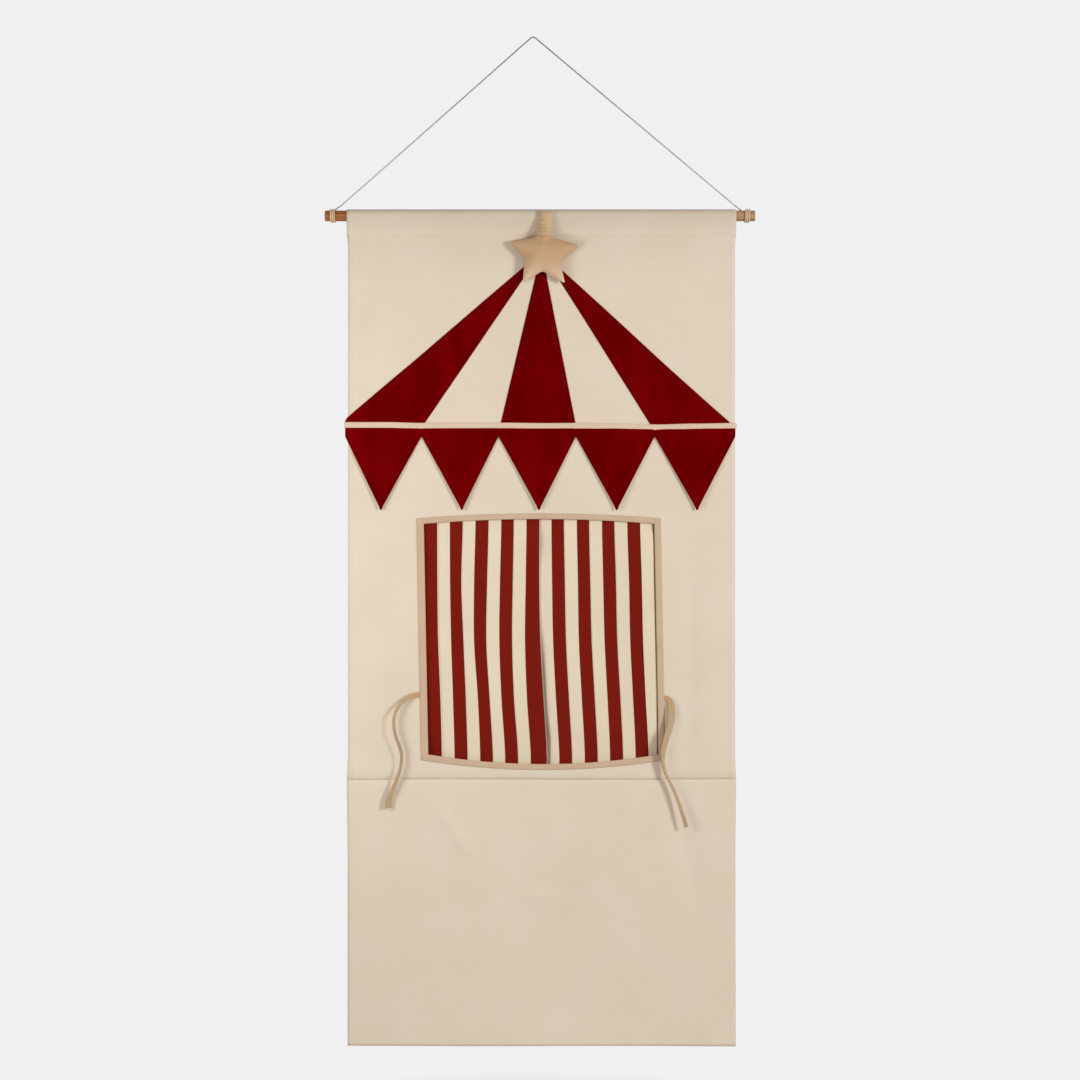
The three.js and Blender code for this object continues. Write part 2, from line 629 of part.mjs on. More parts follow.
// One stripe of a curtain, counted from its outer edge, on the soft folds of the cloth
function makeStripe(inward, index) {
  const outer = CURTAIN_MEET - inward * CURTAIN_WIDTH;
  const start = index * STRIPE_WIDTH + TOUCH_GAP / 2;
  const end = (index + 1) * STRIPE_WIDTH - TOUCH_GAP / 2;
  const edges = [outer + inward * start, outer + inward * end].sort((a, b) => a - b);
  const fold = (x) => {
    const turns = Math.abs(x - outer) / FOLD_WIDTH;
    return CURTAIN_FRONT + CURTAIN_THICKNESS / 2
      + CURTAIN_FOLD_DEPTH * (1 - Math.cos(Math.PI * turns)) / 2;
  };
  const top = -HEADING_DROP - HEADING_HEIGHT - TOUCH_GAP;
  return hangingSheet(evenSteps(...edges, STRIPE_COLUMNS), [top - CURTAIN_LENGTH, top], fold,
    CURTAIN_THICKNESS);
}

addPiece(dowelGroup, "dowel", makeDowel(), materials.wood);
addPiece(part, "hanging_cord", alongRoute(polygon(CORD_RADIUS, CORD_SIDES), CORD_ROUTE), materials.cord);
for (const [side, outward] of [["left", -1], ["right", 1]]) {
  const name = `${side}_cord_winding`;
  addPiece(dowelGroup, name, makeWinding(name, outward * DOWEL_LENGTH / 2, -outward), materials.cord);
}

addPiece(banner, "upper_panel", makeUpperPanel(), materials.canvas);
addPiece(banner, "lower_panel", makeLowerPanel(), materials.canvas);
[["roof_left", 0], ["roof_centre", 2], ["roof_right", 4]].forEach(([name, index]) =>
  addPiece(banner, name, makeGore(index), materials.velvet));
addPiece(banner, "eave_tape", makeEaveTape(), materials.binding);
PENNANT_TIP_SHARES.forEach((_, index) =>
  addPiece(banner, `pennant_${index + 1}`, makePennant(index), materials.velvet));
addPiece(banner, "star", makeStar(), materials.star);
for (const side of ["top", "bottom", "left", "right"]) {
  addPiece(banner, `window_binding_${side}`, makeBinding(side), materials.binding);
}
addPiece(part, "left_tie", makeTie(LEFT_TIE_ROUTE), materials.binding);
addPiece(part, "right_tie", makeTie(RIGHT_TIE_ROUTE), materials.binding);

addPiece(banner, "curtain_header_tape", makeHeaderTape(), materials.canvas);
for (const [side, inward, redRemainder] of [["left", 1, 0], ["right", -1, 1]]) {
  addPiece(banner, `${side}_curtain_heading`, makeHeading(inward), materials.cream);
  for (let index = 0; index < STRIPE_COUNT; index++) {
    const colour = index % 2 === redRemainder ? "red" : "cream";
    const fold = Math.floor(index / STRIPES_PER_FOLD) + 1;
    addPiece(banner, `${side}_curtain_${fold}_${colour}`, makeStripe(inward, index), materials[colour]);
  }
}

export default part;
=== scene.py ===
"""Hanging puppet theatre: a canvas banner with a velvet tent roof, a stage window and striped curtains.

Metres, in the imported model's frame: +Z is up, the front faces -Y, and the origin is the nail.
Places on the banner are given from its middle and from the dowel's axis, as its maker would measure them.
"""

import json
import logging
from collections.abc import Callable, Sequence
from dataclasses import dataclass, field
from enum import Enum
from math import asin, ceil, copysign, cos, exp, pi, radians, sin, sqrt

import bmesh
import bpy
from mathutils import Matrix, Vector, noise

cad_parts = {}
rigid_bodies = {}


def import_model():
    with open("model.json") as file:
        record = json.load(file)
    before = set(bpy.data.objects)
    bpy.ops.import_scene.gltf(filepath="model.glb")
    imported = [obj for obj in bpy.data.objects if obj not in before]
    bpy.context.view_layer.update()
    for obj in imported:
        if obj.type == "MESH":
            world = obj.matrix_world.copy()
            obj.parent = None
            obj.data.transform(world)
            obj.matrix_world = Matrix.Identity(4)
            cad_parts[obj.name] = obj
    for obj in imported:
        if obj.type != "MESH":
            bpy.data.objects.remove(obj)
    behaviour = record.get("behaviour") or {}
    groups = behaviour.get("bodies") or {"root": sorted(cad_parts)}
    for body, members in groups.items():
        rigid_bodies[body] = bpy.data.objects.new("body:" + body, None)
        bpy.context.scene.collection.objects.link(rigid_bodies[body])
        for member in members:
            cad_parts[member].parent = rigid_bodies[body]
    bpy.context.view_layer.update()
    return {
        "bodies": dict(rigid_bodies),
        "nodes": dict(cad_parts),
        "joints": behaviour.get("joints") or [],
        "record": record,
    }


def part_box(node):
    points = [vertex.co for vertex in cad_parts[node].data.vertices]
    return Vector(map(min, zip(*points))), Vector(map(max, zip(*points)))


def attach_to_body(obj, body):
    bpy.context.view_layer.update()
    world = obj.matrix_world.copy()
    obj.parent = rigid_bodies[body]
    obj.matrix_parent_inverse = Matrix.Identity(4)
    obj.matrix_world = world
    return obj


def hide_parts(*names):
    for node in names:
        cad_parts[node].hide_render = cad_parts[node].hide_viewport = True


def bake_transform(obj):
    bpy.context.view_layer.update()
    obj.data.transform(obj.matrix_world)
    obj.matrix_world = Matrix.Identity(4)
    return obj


LOG = logging.getLogger("puppet_theatre")
CLOTH_MAP = "cloth"
FULL_TURN = 2 * pi
MILLIMETRE = 0.001

Piece = bpy.types.Object
Finish = bpy.types.Material
Colour = tuple[float, float, float]
Span = tuple[float, float]
Place = Callable[[float, float], Vector]
ClothAt = Callable[[float, float], Span]
Hole = Callable[[float, float], bool]


class Slot(Enum):
    """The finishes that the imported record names."""

    DOWEL = "dowel_wood"
    CORD = "cord"
    CANVAS = "canvas"
    VELVET = "red_velvet"
    EDGE = "edge_tape"
    STAR = "star_cloth"
    RED = "curtain_red"
    CREAM = "curtain_cream"


class Side(Enum):
    """The sides of the stage window."""

    TOP = "top"
    BOTTOM = "bottom"
    LEFT = "left"
    RIGHT = "right"


class Weave(Enum):
    """How the threads of a cloth pass each other."""

    PLAIN = 1
    TWILL = 2


class Face(Enum):
    """The front or the back of the cloth, with the direction in which it faces along Y."""

    FRONT = -1
    BACK = 1


# Small sums


def mm(*sizes: float) -> tuple[float, ...]:
    """Sizes in millimetres, as metres."""
    return tuple(size * MILLIMETRE for size in sizes)


def blend_between(low: float, high: float, share: float) -> float:
    """The value at a share of the way from low to high."""
    return low + (high - low) * share


def ramp(value: float, start: float, end: float) -> float:
    """A smooth step from 0 at start to 1 at end, which may lie above or below start."""
    share = min(1.0, max(0.0, (value - start) / (end - start)))
    return share * share * (3 - 2 * share)


def bump(distance: float, spread: float) -> float:
    """A soft bump: 1 in its middle, and gone at about twice its spread."""
    return exp(-((distance / spread) ** 2))


def rough(x: float, y: float, z: float) -> float:
    """Smooth unevenness around 0, with about one rise or fall in each step of 1."""
    return noise.noise(Vector((x, y, z)))


def eased(values: Sequence[float], level: float) -> float:
    """The value at a level of a list, eased from each value to the next."""
    return blend_between(*values[int(level):int(level) + 2], ramp(level % 1, 0, 1))


def steps(start: float, end: float, count: int) -> list[float]:
    """Even steps from start to end, both included."""
    return [start + (end - start) * index / count for index in range(count + 1)]


def edged_steps(start: float, end: float, pitch: float, edge: float) -> list[float]:
    """Steps that lie close together near both ends, where cloth turns over.

    Args:
        start: The first step.
        end: The last step, above start.
        pitch: The distance between two steps away from the ends.
        edge: How far the close steps reach in from each end.

    Returns:
        Rising positions from start to end.
    """
    shares = (0, 0.1, 0.28, 0.55)
    count = max(1, round((end - start - 2 * edge) / pitch))
    first = [start + edge * share for share in shares]
    last = [end - edge * share for share in reversed(shares)]
    return first + steps(start + edge, end - edge, count) + last


# Shader maths


class Value:
    """An output socket that takes part in Python sums, each of which adds a Math node."""

    def __init__(self, tree: "NodeTree", socket: bpy.types.NodeSocket) -> None:
        """Keeps the socket and the tree that it belongs to."""
        self.tree = tree
        self.socket = socket

    def math(self, operation: str, *operands: "Value | float") -> "Value":
        """One Math node of this operation on the given operands."""
        return self.tree.value("ShaderNodeMath", {"operation": operation}, dict(enumerate(operands)))

    def __add__(self, other: "Value | float") -> "Value":
        """Sum."""
        return self.math("ADD", self, other)

    def __radd__(self, other: float) -> "Value":
        """Sum with a number on the left."""
        return self.math("ADD", other, self)

    def __sub__(self, other: "Value | float") -> "Value":
        """Difference."""
        return self.math("SUBTRACT", self, other)

    def __rsub__(self, other: float) -> "Value":
        """Difference from a number."""
        return self.math("SUBTRACT", other, self)

    def __mul__(self, other: "Value | float") -> "Value":
        """Product."""
        return self.math("MULTIPLY", self, other)

    def __rmul__(self, other: float) -> "Value":
        """Product with a number on the left."""
        return self.math("MULTIPLY", other, self)

    def __truediv__(self, other: "Value | float") -> "Value":
        """Quotient."""
        return self.math("DIVIDE", self, other)

    def sine(self) -> "Value":
        """Sine of an angle in radians."""
        return self.math("SINE", self)

    def size(self) -> "Value":
        """The value without its sign."""
        return self.math("ABSOLUTE", self)

    def whole(self) -> "Value":
        """The whole number at or below the value."""
        return self.math("FLOOR", self)

    def rest(self, divisor: float) -> "Value":
        """What is left of the value after whole divisors."""
        return self.math("FLOORED_MODULO", self, divisor)

    def above(self, limit: float) -> "Value":
        """1 where the value is above the limit, and 0 elsewhere."""
        return self.math("GREATER_THAN", self, limit)

    def step(self, start: float, end: float) -> "Value":
        """A smooth step from 0 at start to 1 at end."""
        sockets = {"Value": self, "From Min": start, "From Max": end}
        return self.tree.value("ShaderNodeMapRange", {"interpolation_type": "SMOOTHSTEP"}, sockets)


class NodeTree:
    """The node tree of a material or of the world, with the one place where its nodes are made."""

    def __init__(self, tree: bpy.types.NodeTree) -> None:
        """Empties the tree."""
        self.tree = tree
        tree.nodes.clear()

    def node(self, kind: str, settings: dict | None = None, sockets: dict | None = None) -> bpy.types.Node:
        """Makes one node.

        Args:
            kind: The node's type.
            settings: Its settings, set first. stops are a ramp's (position, colour) pairs.
            sockets: Values or links of its input sockets, by name or number.

        Returns:
            The node.
        """
        made = self.tree.nodes.new(kind)
        for key, setting in (settings or {}).items():
            if key == "stops":
                elements = made.color_ramp.elements
                while len(elements) < len(setting):
                    elements.new(1.0)
                for element, (position, colour) in zip(elements, setting):
                    element.position = position
                    element.color = colour
            else:
                setattr(made, key, setting)
        for key, given in (sockets or {}).items():
            if isinstance(given, Value):
                self.tree.links.new(given.socket, made.inputs[key])
            else:
                made.inputs[key].default_value = given
        return made

    def value(
        self, kind: str, settings: dict | None = None, sockets: dict | None = None, output: int | str = 0
    ) -> Value:
        """One output of a new node, ready for sums."""
        return Value(self, self.node(kind, settings, sockets).outputs[output])


class Shader(NodeTree):
    """A material's node tree, and the nodes that its finishes share."""

    def __init__(self, name: str) -> None:
        """Starts an empty material.

        Args:
            name: The material's name.
        """
        self.material = bpy.data.materials.new(name)
        self.material.use_nodes = True
        super().__init__(self.material.node_tree)

    def parts(self, vector: Value) -> tuple[Value, Value, Value]:
        """The three numbers of a vector."""
        made = self.node("ShaderNodeSeparateXYZ", None, {0: vector})
        return tuple(Value(self, output) for output in made.outputs)

    def cloth_place(self) -> Value:
        """The place on the cloth itself, in metres along its two threads."""
        return self.value("ShaderNodeUVMap", {"uv_map": CLOTH_MAP})

    def object_place(self) -> Value:
        """The place in the object's own frame."""
        return self.value("ShaderNodeTexCoord", output="Object")

    def stretched(self, vector: Value, scale: Sequence[float]) -> Value:
        """A place multiplied along each axis."""
        return self.value("ShaderNodeVectorMath", {"operation": "MULTIPLY"}, {0: vector, 1: scale})

    def noise(self, vector: Value, scale: float, detail: float = 2.0) -> Value:
        """Soft noise from 0 to 1, with about scale patches in a metre."""
        return self.value("ShaderNodeTexNoise", None, {"Vector": vector, "Scale": scale, "Detail": detail})

    def mix(self, factor: "Value | float", first: "Value | Colour", second: "Value | Colour") -> Value:
        """A colour between first, at 0, and second, at 1."""
        sockets = {0: factor, 6: self._colour(first), 7: self._colour(second)}
        return self.value("ShaderNodeMix", {"data_type": "RGBA"}, sockets, 2)

    def shade(self, colour: Value, brightness: Value) -> Value:
        """A colour made lighter or darker by a number near 1."""
        return self.value("ShaderNodeVectorMath", {"operation": "SCALE"}, {0: colour, "Scale": brightness})

    def _colour(self, given: "Value | Colour") -> "Value | tuple[float, ...]":
        """A link as it is, or an sRGB colour of 0 to 255 as linear RGBA."""
        return given if isinstance(given, Value) else linear(given)

    def surface(
        self, colour: "Value | Colour", roughness: "Value | float", height: Value | None = None,
        depth: float = 0.0, fixed: dict[str, float] | None = None
    ) -> Finish:
        """Ends the tree in one Principled surface.

        Args:
            colour: Base colour.
            roughness: Roughness.
            height: Relief from 0 to 1, if the surface has any.
            depth: How deep that relief is, in metres.
            fixed: Other sockets of the shader that are the same all over.

        Returns:
            The material.
        """
        sockets = {"Base Color": self._colour(colour), "Roughness": roughness, **(fixed or {})}
        if height is not None:
            relief = {"Height": height, "Distance": depth, "Strength": 1.0}
            sockets["Normal"] = self.value("ShaderNodeBump", None, relief)
        shader = self.value("ShaderNodeBsdfPrincipled", None, sockets)
        self.node("ShaderNodeOutputMaterial", None, {0: shader})
        return self.material


def linear(colour: Colour) -> tuple[float, float, float, float]:
    """An sRGB colour of 0 to 255 as the linear RGBA that a socket holds."""
    shares = [channel / 255 for channel in colour]
    return (*[s / 12.92 if s <= 0.04045 else ((s + 0.055) / 1.055) ** 2.4 for s in shares], 1.0)


# Finishes


@dataclass(frozen=True)
class WovenCloth:
    """Woven cotton: threads over and under, slubs, and a slow change of tone."""

    name: str
    colour: Colour
    shadow_colour: Colour
    thread: float = 0.0009
    weave: Weave = Weave.PLAIN
    depth: float = 0.00010
    mottle_and_weave_shade: float = 0.05
    roughness: float = 0.92
    sheen: float = 0.12
    gloss: float = 0.2

    def relief(self, shader: Shader, place: Value) -> Value:
        """The height of the woven threads, from 0 to 1.

        Args:
            shader: The material being made.
            place: Where on the cloth.

        Returns:
            The height.
        """
        across, down, _ = shader.parts(place)
        warp = across / self.thread
        weft = down / self.thread
        turns = self.weave.value + 1
        over = (warp.whole() + weft.whole()).rest(turns).above(turns - 1.5)
        return over * (warp * pi).sine().size() + (1 - over) * (weft * pi).sine().size()

    def slubs(self, shader: Shader, place: Value) -> Value:
        """Thick and thin places along the threads of both directions, around 0.

        Args:
            shader: The material being made.
            place: Where on the cloth.

        Returns:
            A number around 0.
        """
        along = shader.noise(shader.stretched(place, (1400, 60, 1)), 1.0)
        cross = shader.noise(shader.stretched(place, (60, 1400, 1)), 1.0)
        return along + cross - 1.0

    def dye(self, shader: Shader, place: Value) -> Value:
        """The cloth's colour before its threads are shaded."""
        tone = shader.noise(place, 9.0, 3.0).step(0.25, 0.75)
        return shader.mix(tone, self.shadow_colour, self.colour)

    def material(self) -> Finish:
        """Builds the material.

        Returns:
            The material.
        """
        shader = Shader(self.name)
        place = shader.cloth_place()
        height = self.relief(shader, place)
        slubs = self.slubs(shader, place)
        # slubs vary the tone at random; painted shade darkens the weave's low places between the threads
        brightness = 1.0 + slubs * self.mottle_and_weave_shade + (height - 0.64) * self.mottle_and_weave_shade
        colour = shader.shade(self.dye(shader, place), brightness)
        fixed = {"Sheen Weight": self.sheen, "Sheen Roughness": 0.5, "Specular IOR Level": self.gloss}
        return shader.surface(colour, self.roughness, height + slubs * 0.6, self.depth, fixed)


@dataclass(frozen=True)
class StripedCloth(WovenCloth):
    """Woven cotton with upright stripes of two dyes, which run with the warp."""

    stripe: float = 0.024
    red: Colour = (123, 24, 13)
    first_red: bool = True

    def dye(self, shader: Shader, place: Value) -> Value:
        """Red and cream stripes, with edges as soft as the threads that cross there.

        Args:
            shader: The material being made.
            place: Where on the cloth.

        Returns:
            The colour.
        """
        across, _, _ = shader.parts(place)
        fray = (shader.noise(shader.stretched(place, (40, 700, 1)), 1.0) - 0.5) * 0.0008
        turns = (across + fray) / (2 * self.stripe)
        wave = (turns * FULL_TURN).sine() if self.first_red else (turns * FULL_TURN).sine() * -1.0
        cream = super().dye(shader, place)
        tone = shader.noise(place, 14.0, 3.0)
        red = shader.shade(shader.mix(1.0, self.red, self.red), 0.93 + tone * 0.14)
        return shader.mix(wave.step(-0.05, 0.05), cream, red)


@dataclass(frozen=True)
class CanvasCloth(WovenCloth):
    """Canvas with painted shade towards its top, darkest where it lies over the dowel."""

    painted_shade: float = 0.1
    sleeve: Span = (-0.042, 0.0)
    below: Span = (-0.13, -0.045)

    def dye(self, shader: Shader, place: Value) -> Value:
        """The canvas's colour at a height on the banner, with painted shade towards its top.

        Args:
            shader: The material being made.
            place: Where on the cloth.

        Returns:
            The colour.
        """
        _, up, _ = shader.parts(place)
        # painted shade: darker towards the top of the canvas from about 13 cm below the dowel's axis, and
        # more over the sleeve
        grey = up.step(*self.sleeve) * self.painted_shade + up.step(*self.below) * self.painted_shade * 0.5
        return shader.shade(super().dye(shader, place), 1.0 - grey)


@dataclass(frozen=True)
class StarCloth(WovenCloth):
    """Linen of the star's cover, paler on the leaning top arm, with painted light making it paler towards the
    lower tips.
    """

    pale_and_lit_colour: Colour = (226, 200, 168)
    arm_pale: Span = (0.024, 0.034)
    low_painted_light: Span = (-0.012, -0.058)

    def dye(self, shader: Shader, place: Value) -> Value:
        """The cover's colour at a height from the star's middle.

        Args:
            shader: The material being made.
            place: Where on the cloth.

        Returns:
            The colour.
        """
        _, up, _ = shader.parts(place)
        # paler on the top arm; painted light makes the cover paler towards the lower tips
        pale = up.step(*self.arm_pale) * 0.26 + (0.0 - up).step(-self.low_painted_light[0], -self.low_painted_light[1]) * 0.8
        return shader.mix(pale, super().dye(shader, place), self.pale_and_lit_colour)


@dataclass(frozen=True)
class RibbonCloth(WovenCloth):
    """Cotton ribbon with painted shade on its two edges, browner where it leaves its seam and a little darker
    further along.
    """

    girth: float = 0.0212
    painted_edge_shade: Colour = (138, 112, 84)
    start_colour: Colour = (200, 156, 114)
    along_colour: Colour = (172, 146, 114)

    def dye(self, shader: Shader, place: Value) -> Value:
        """The ribbon's colour at a place round its section.

        Args:
            shader: The material being made.
            place: Where on the cloth.

        Returns:
            The colour.
        """
        around, along, _ = shader.parts(place)
        # painted shade on the ribbon's two edges
        edge = (around * (FULL_TURN / self.girth)).sine().size().step(0.7, 0.97)
        face = shader.mix(along.step(0.045, 0.012) * 0.8, super().dye(shader, place), self.start_colour)
        # a little darker further along the ribbon
        darker_along = shader.mix(along.step(0.05, 0.13) * 0.3, face, self.along_colour)
        return shader.mix(edge, darker_along, self.painted_edge_shade)


@dataclass(frozen=True)
class Velvet:
    """Cotton velvet: a short pile that lies this way and that, darker where it is brushed up."""

    name: str
    colour: Colour
    brushed_colour: Colour
    pile: float = 0.0009
    depth: float = 0.00035

    def material(self) -> Finish:
        """Builds the material.

        Returns:
            The material.
        """
        shader = Shader(self.name)
        place = shader.cloth_place()
        strokes = shader.noise(shader.stretched(place, (30, 12, 1)), 1.0, 4.0)
        patches = shader.noise(place, 7.0, 3.0)
        tufts = shader.noise(place, 1 / self.pile, 3.0)
        lie = (strokes * 0.55 + patches * 0.45).step(0.34, 0.66)
        colour = shader.mix(lie, self.brushed_colour, self.colour)
        colour = shader.shade(colour, 0.88 + tufts * 0.24)
        fixed = {"Sheen Weight": 0.04, "Sheen Roughness": 0.4, "Specular IOR Level": 0.0}
        fixed["Sheen Tint"] = linear((200, 20, 20))
        return shader.surface(colour, 0.95, tufts + strokes * 0.5, self.depth, fixed)


@dataclass(frozen=True)
class TurnedWood:
    """A hardwood rod: fine grain along it, pores, and rings on its sawn ends."""

    name: str
    colour: Colour
    grain_colour: Colour
    right_colour: Colour
    right_grain_colour: Colour
    depth: float = 0.00012

    def material(self) -> Finish:
        """Builds the material, which is paler towards the rod's right end.

        Returns:
            The material.
        """
        shader = Shader(self.name)
        place = shader.object_place()
        pale = shader.parts(place)[0].step(-0.3, 0.38)
        grain = shader.noise(shader.stretched(place, (4, 260, 260)), 1.0, 5.0)
        pores = shader.noise(shader.stretched(place, (60, 1500, 1500)), 1.0, 3.0)
        bands = shader.noise(shader.stretched(place, (1.6, 90, 90)), 1.0, 2.0)
        dark = (grain * 0.6 + bands * 0.4).step(0.38, 0.62)
        left = shader.mix(dark, self.grain_colour, self.colour)
        right = shader.mix(dark, self.right_grain_colour, self.right_colour)
        colour = shader.shade(shader.mix(pale, left, right), 0.86 + pores * 0.28)
        height = grain * 0.6 + pores * 0.4
        return shader.surface(colour, 0.5 + grain * 0.15, height, self.depth, {"Specular IOR Level": 0.35})


@dataclass(frozen=True)
class TwistedCotton:
    """Cotton yarn: fine fibres that lie along the strands, from the piece's own map."""

    name: str
    colour: Colour
    groove_shade_colour: Colour
    nail_shade: float = 0.0
    depth: float = 0.00012

    def material(self) -> Finish:
        """Builds the material, with painted shade that darkens it towards the nail at the top.

        Returns:
            The material.
        """
        shader = Shader(self.name)
        place = shader.cloth_place()
        # painted shade: darker on the upper part of the cord, towards the nail
        top_shade = shader.parts(shader.object_place())[2].step(-0.3, 0.0) * self.nail_shade
        fibres = shader.noise(shader.stretched(place, (3200, 700, 1)), 1.0, 3.0)
        patches = shader.noise(place, 60.0, 2.0)
        # painted shade: the low grooves between the fibres take the darker colour
        dyed = shader.mix((fibres * 0.6 + patches * 0.4).step(0.3, 0.62), self.groove_shade_colour, self.colour)
        fixed = {"Sheen Weight": 0.15, "Specular IOR Level": 0.2}
        return shader.surface(shader.shade(dyed, 1.0 - top_shade), 0.9, fibres, self.depth, fixed)


class Finishes:
    """Every finish on the theatre, each made once."""

    def __init__(self) -> None:
        """Makes the materials."""
        canvas = CanvasCloth("canvas", (229, 214, 193), (226, 210, 187), mottle_and_weave_shade=0.035)
        edge = WovenCloth("edge_tape", (211, 181, 153), (203, 172, 144), thread=0.0006, weave=Weave.TWILL)
        star = StarCloth("star_linen", (204, 168, 131), (196, 158, 120), thread=0.0008, mottle_and_weave_shade=0.07)
        ribbon = RibbonCloth("ribbon", (202, 176, 143), (182, 156, 122), thread=0.0006, sheen=0.03, gloss=0.1)
        striped = {
            "colour": (233, 218, 192), "shadow_colour": (229, 213, 187), "thread": 0.0006, "mottle_and_weave_shade": 0.03,
            "sheen": 0.02, "gloss": 0.08,
        }
        brown, tan = ((174, 106, 50), (126, 74, 32)), ((190, 150, 112), (150, 114, 82))
        self.canvas = canvas.material()
        self.edge = edge.material()
        self.eave = WovenCloth("eave_tape", (227, 202, 176), (221, 194, 167), thread=0.0007).material()
        self.star = star.material()
        self.ribbon = ribbon.material()
        self.left_stripes = StripedCloth("left_curtain_stripes", **striped).material()
        self.right_stripes = StripedCloth("right_curtain_stripes", **striped, first_red=False).material()
        self.velvet = Velvet("red_velvet", (114, 1, 5), (97, 0, 2)).material()
        self.wood = TurnedWood("dowel_wood", *brown, *tan).material()
        self.cord = TwistedCotton("cord_cotton", (203, 202, 197), (166, 165, 161), 0.42).material()
        self.winding = TwistedCotton("winding_cotton", (228, 196, 162), (203, 168, 132)).material()
        self.thread = TwistedCotton("sewing_thread", (228, 213, 193), (210, 193, 170)).material()


# Building meshes


def new_piece(name: str, draft: bmesh.types.BMesh, material: Finish) -> Piece:
    """Turns a bmesh into a smooth object at the origin.

    Args:
        name: The piece's name.
        draft: The mesh, already in place. It is freed here.
        material: The finish.

    Returns:
        The object, linked to the scene.
    """
    mesh = bpy.data.meshes.new(name)
    draft.to_mesh(mesh)
    draft.free()
    mesh.materials.append(material)
    for polygon in mesh.polygons:
        polygon.use_smooth = True
    made = bpy.data.objects.new(name, mesh)
    bpy.context.scene.collection.objects.link(made)
    return made


def attach(piece: Piece, body: str, nodes: Sequence[str] = ()) -> Piece:
    """Lets a piece ride on a body and hides the solids that it stands for.

    Args:
        piece: The piece.
        body: The body.
        nodes: The solids' names.

    Returns:
        The piece.
    """
    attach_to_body(piece, body)
    if nodes:
        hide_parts(*nodes)
    LOG.info("%s rides on %s, %d faces", piece.name, body, len(piece.data.polygons))
    return piece


@dataclass(frozen=True)
class Sheet:
    """A grid of cloth whose columns and rows are moved into place.

    Its columns run from left to right as seen from the front, and its rows from bottom to top. place gives
    the point at a column and a row, and cloth_at the place on the flat cloth where it isn't those two
    themselves. hole tells whether the face around a column and a row is cut out.
    """

    columns: Sequence[float]
    rows: Sequence[float]
    place: Place
    cloth_at: ClothAt | None = None
    hole: Hole | None = None

    def mesh(self) -> bmesh.types.BMesh:
        """Makes the grid.

        Returns:
            The mesh, with the cloth's own map.
        """
        draft = bmesh.new()
        across, up = len(self.columns) - 1, len(self.rows) - 1
        bmesh.ops.create_grid(draft, x_segments=across, y_segments=up, size=0.5)
        cell = {v: (round((v.co.x + 0.5) * across), round((v.co.y + 0.5) * up)) for v in draft.verts}
        if self.hole is not None:
            cut = [face for face in draft.faces if self._is_cut(face.calc_center_median())]
            bmesh.ops.delete(draft, geom=cut, context="FACES")
        layer = draft.loops.layers.uv.new(CLOTH_MAP)
        for face in draft.faces:
            for loop in face.loops:
                column, row = cell[loop.vert]
                at = (self.columns[column], self.rows[row])
                loop[layer].uv = self.cloth_at(*at) if self.cloth_at else at
        for vertex in draft.verts:
            column, row = cell[vertex]
            vertex.co = self.place(self.columns[column], self.rows[row])
        return draft

    def _is_cut(self, middle: Vector) -> bool:
        """Whether the face at a place of the unmoved grid is cut out.

        Args:
            middle: The face's middle.

        Returns:
            True where the hole is.
        """
        left = int((middle.x + 0.5) * (len(self.columns) - 1))
        low = int((middle.y + 0.5) * (len(self.rows) - 1))
        return self.hole(sum(self.columns[left:left + 2]) / 2, sum(self.rows[low:low + 2]) / 2)

    def piece(self, name: str, material: Finish, thickness: float, offset: float = 0.0) -> Piece:
        """Makes the grid an object with a thickness.

        Args:
            name: The piece's name.
            material: The finish.
            thickness: How thick the cloth is.
            offset: 0 to grow both ways from its points, and -1 to grow behind them.

        Returns:
            The object.
        """
        made = new_piece(name, self.mesh(), material)
        wall = made.modifiers.new("thickness", "SOLIDIFY")
        wall.thickness = thickness
        wall.offset = offset
        return made


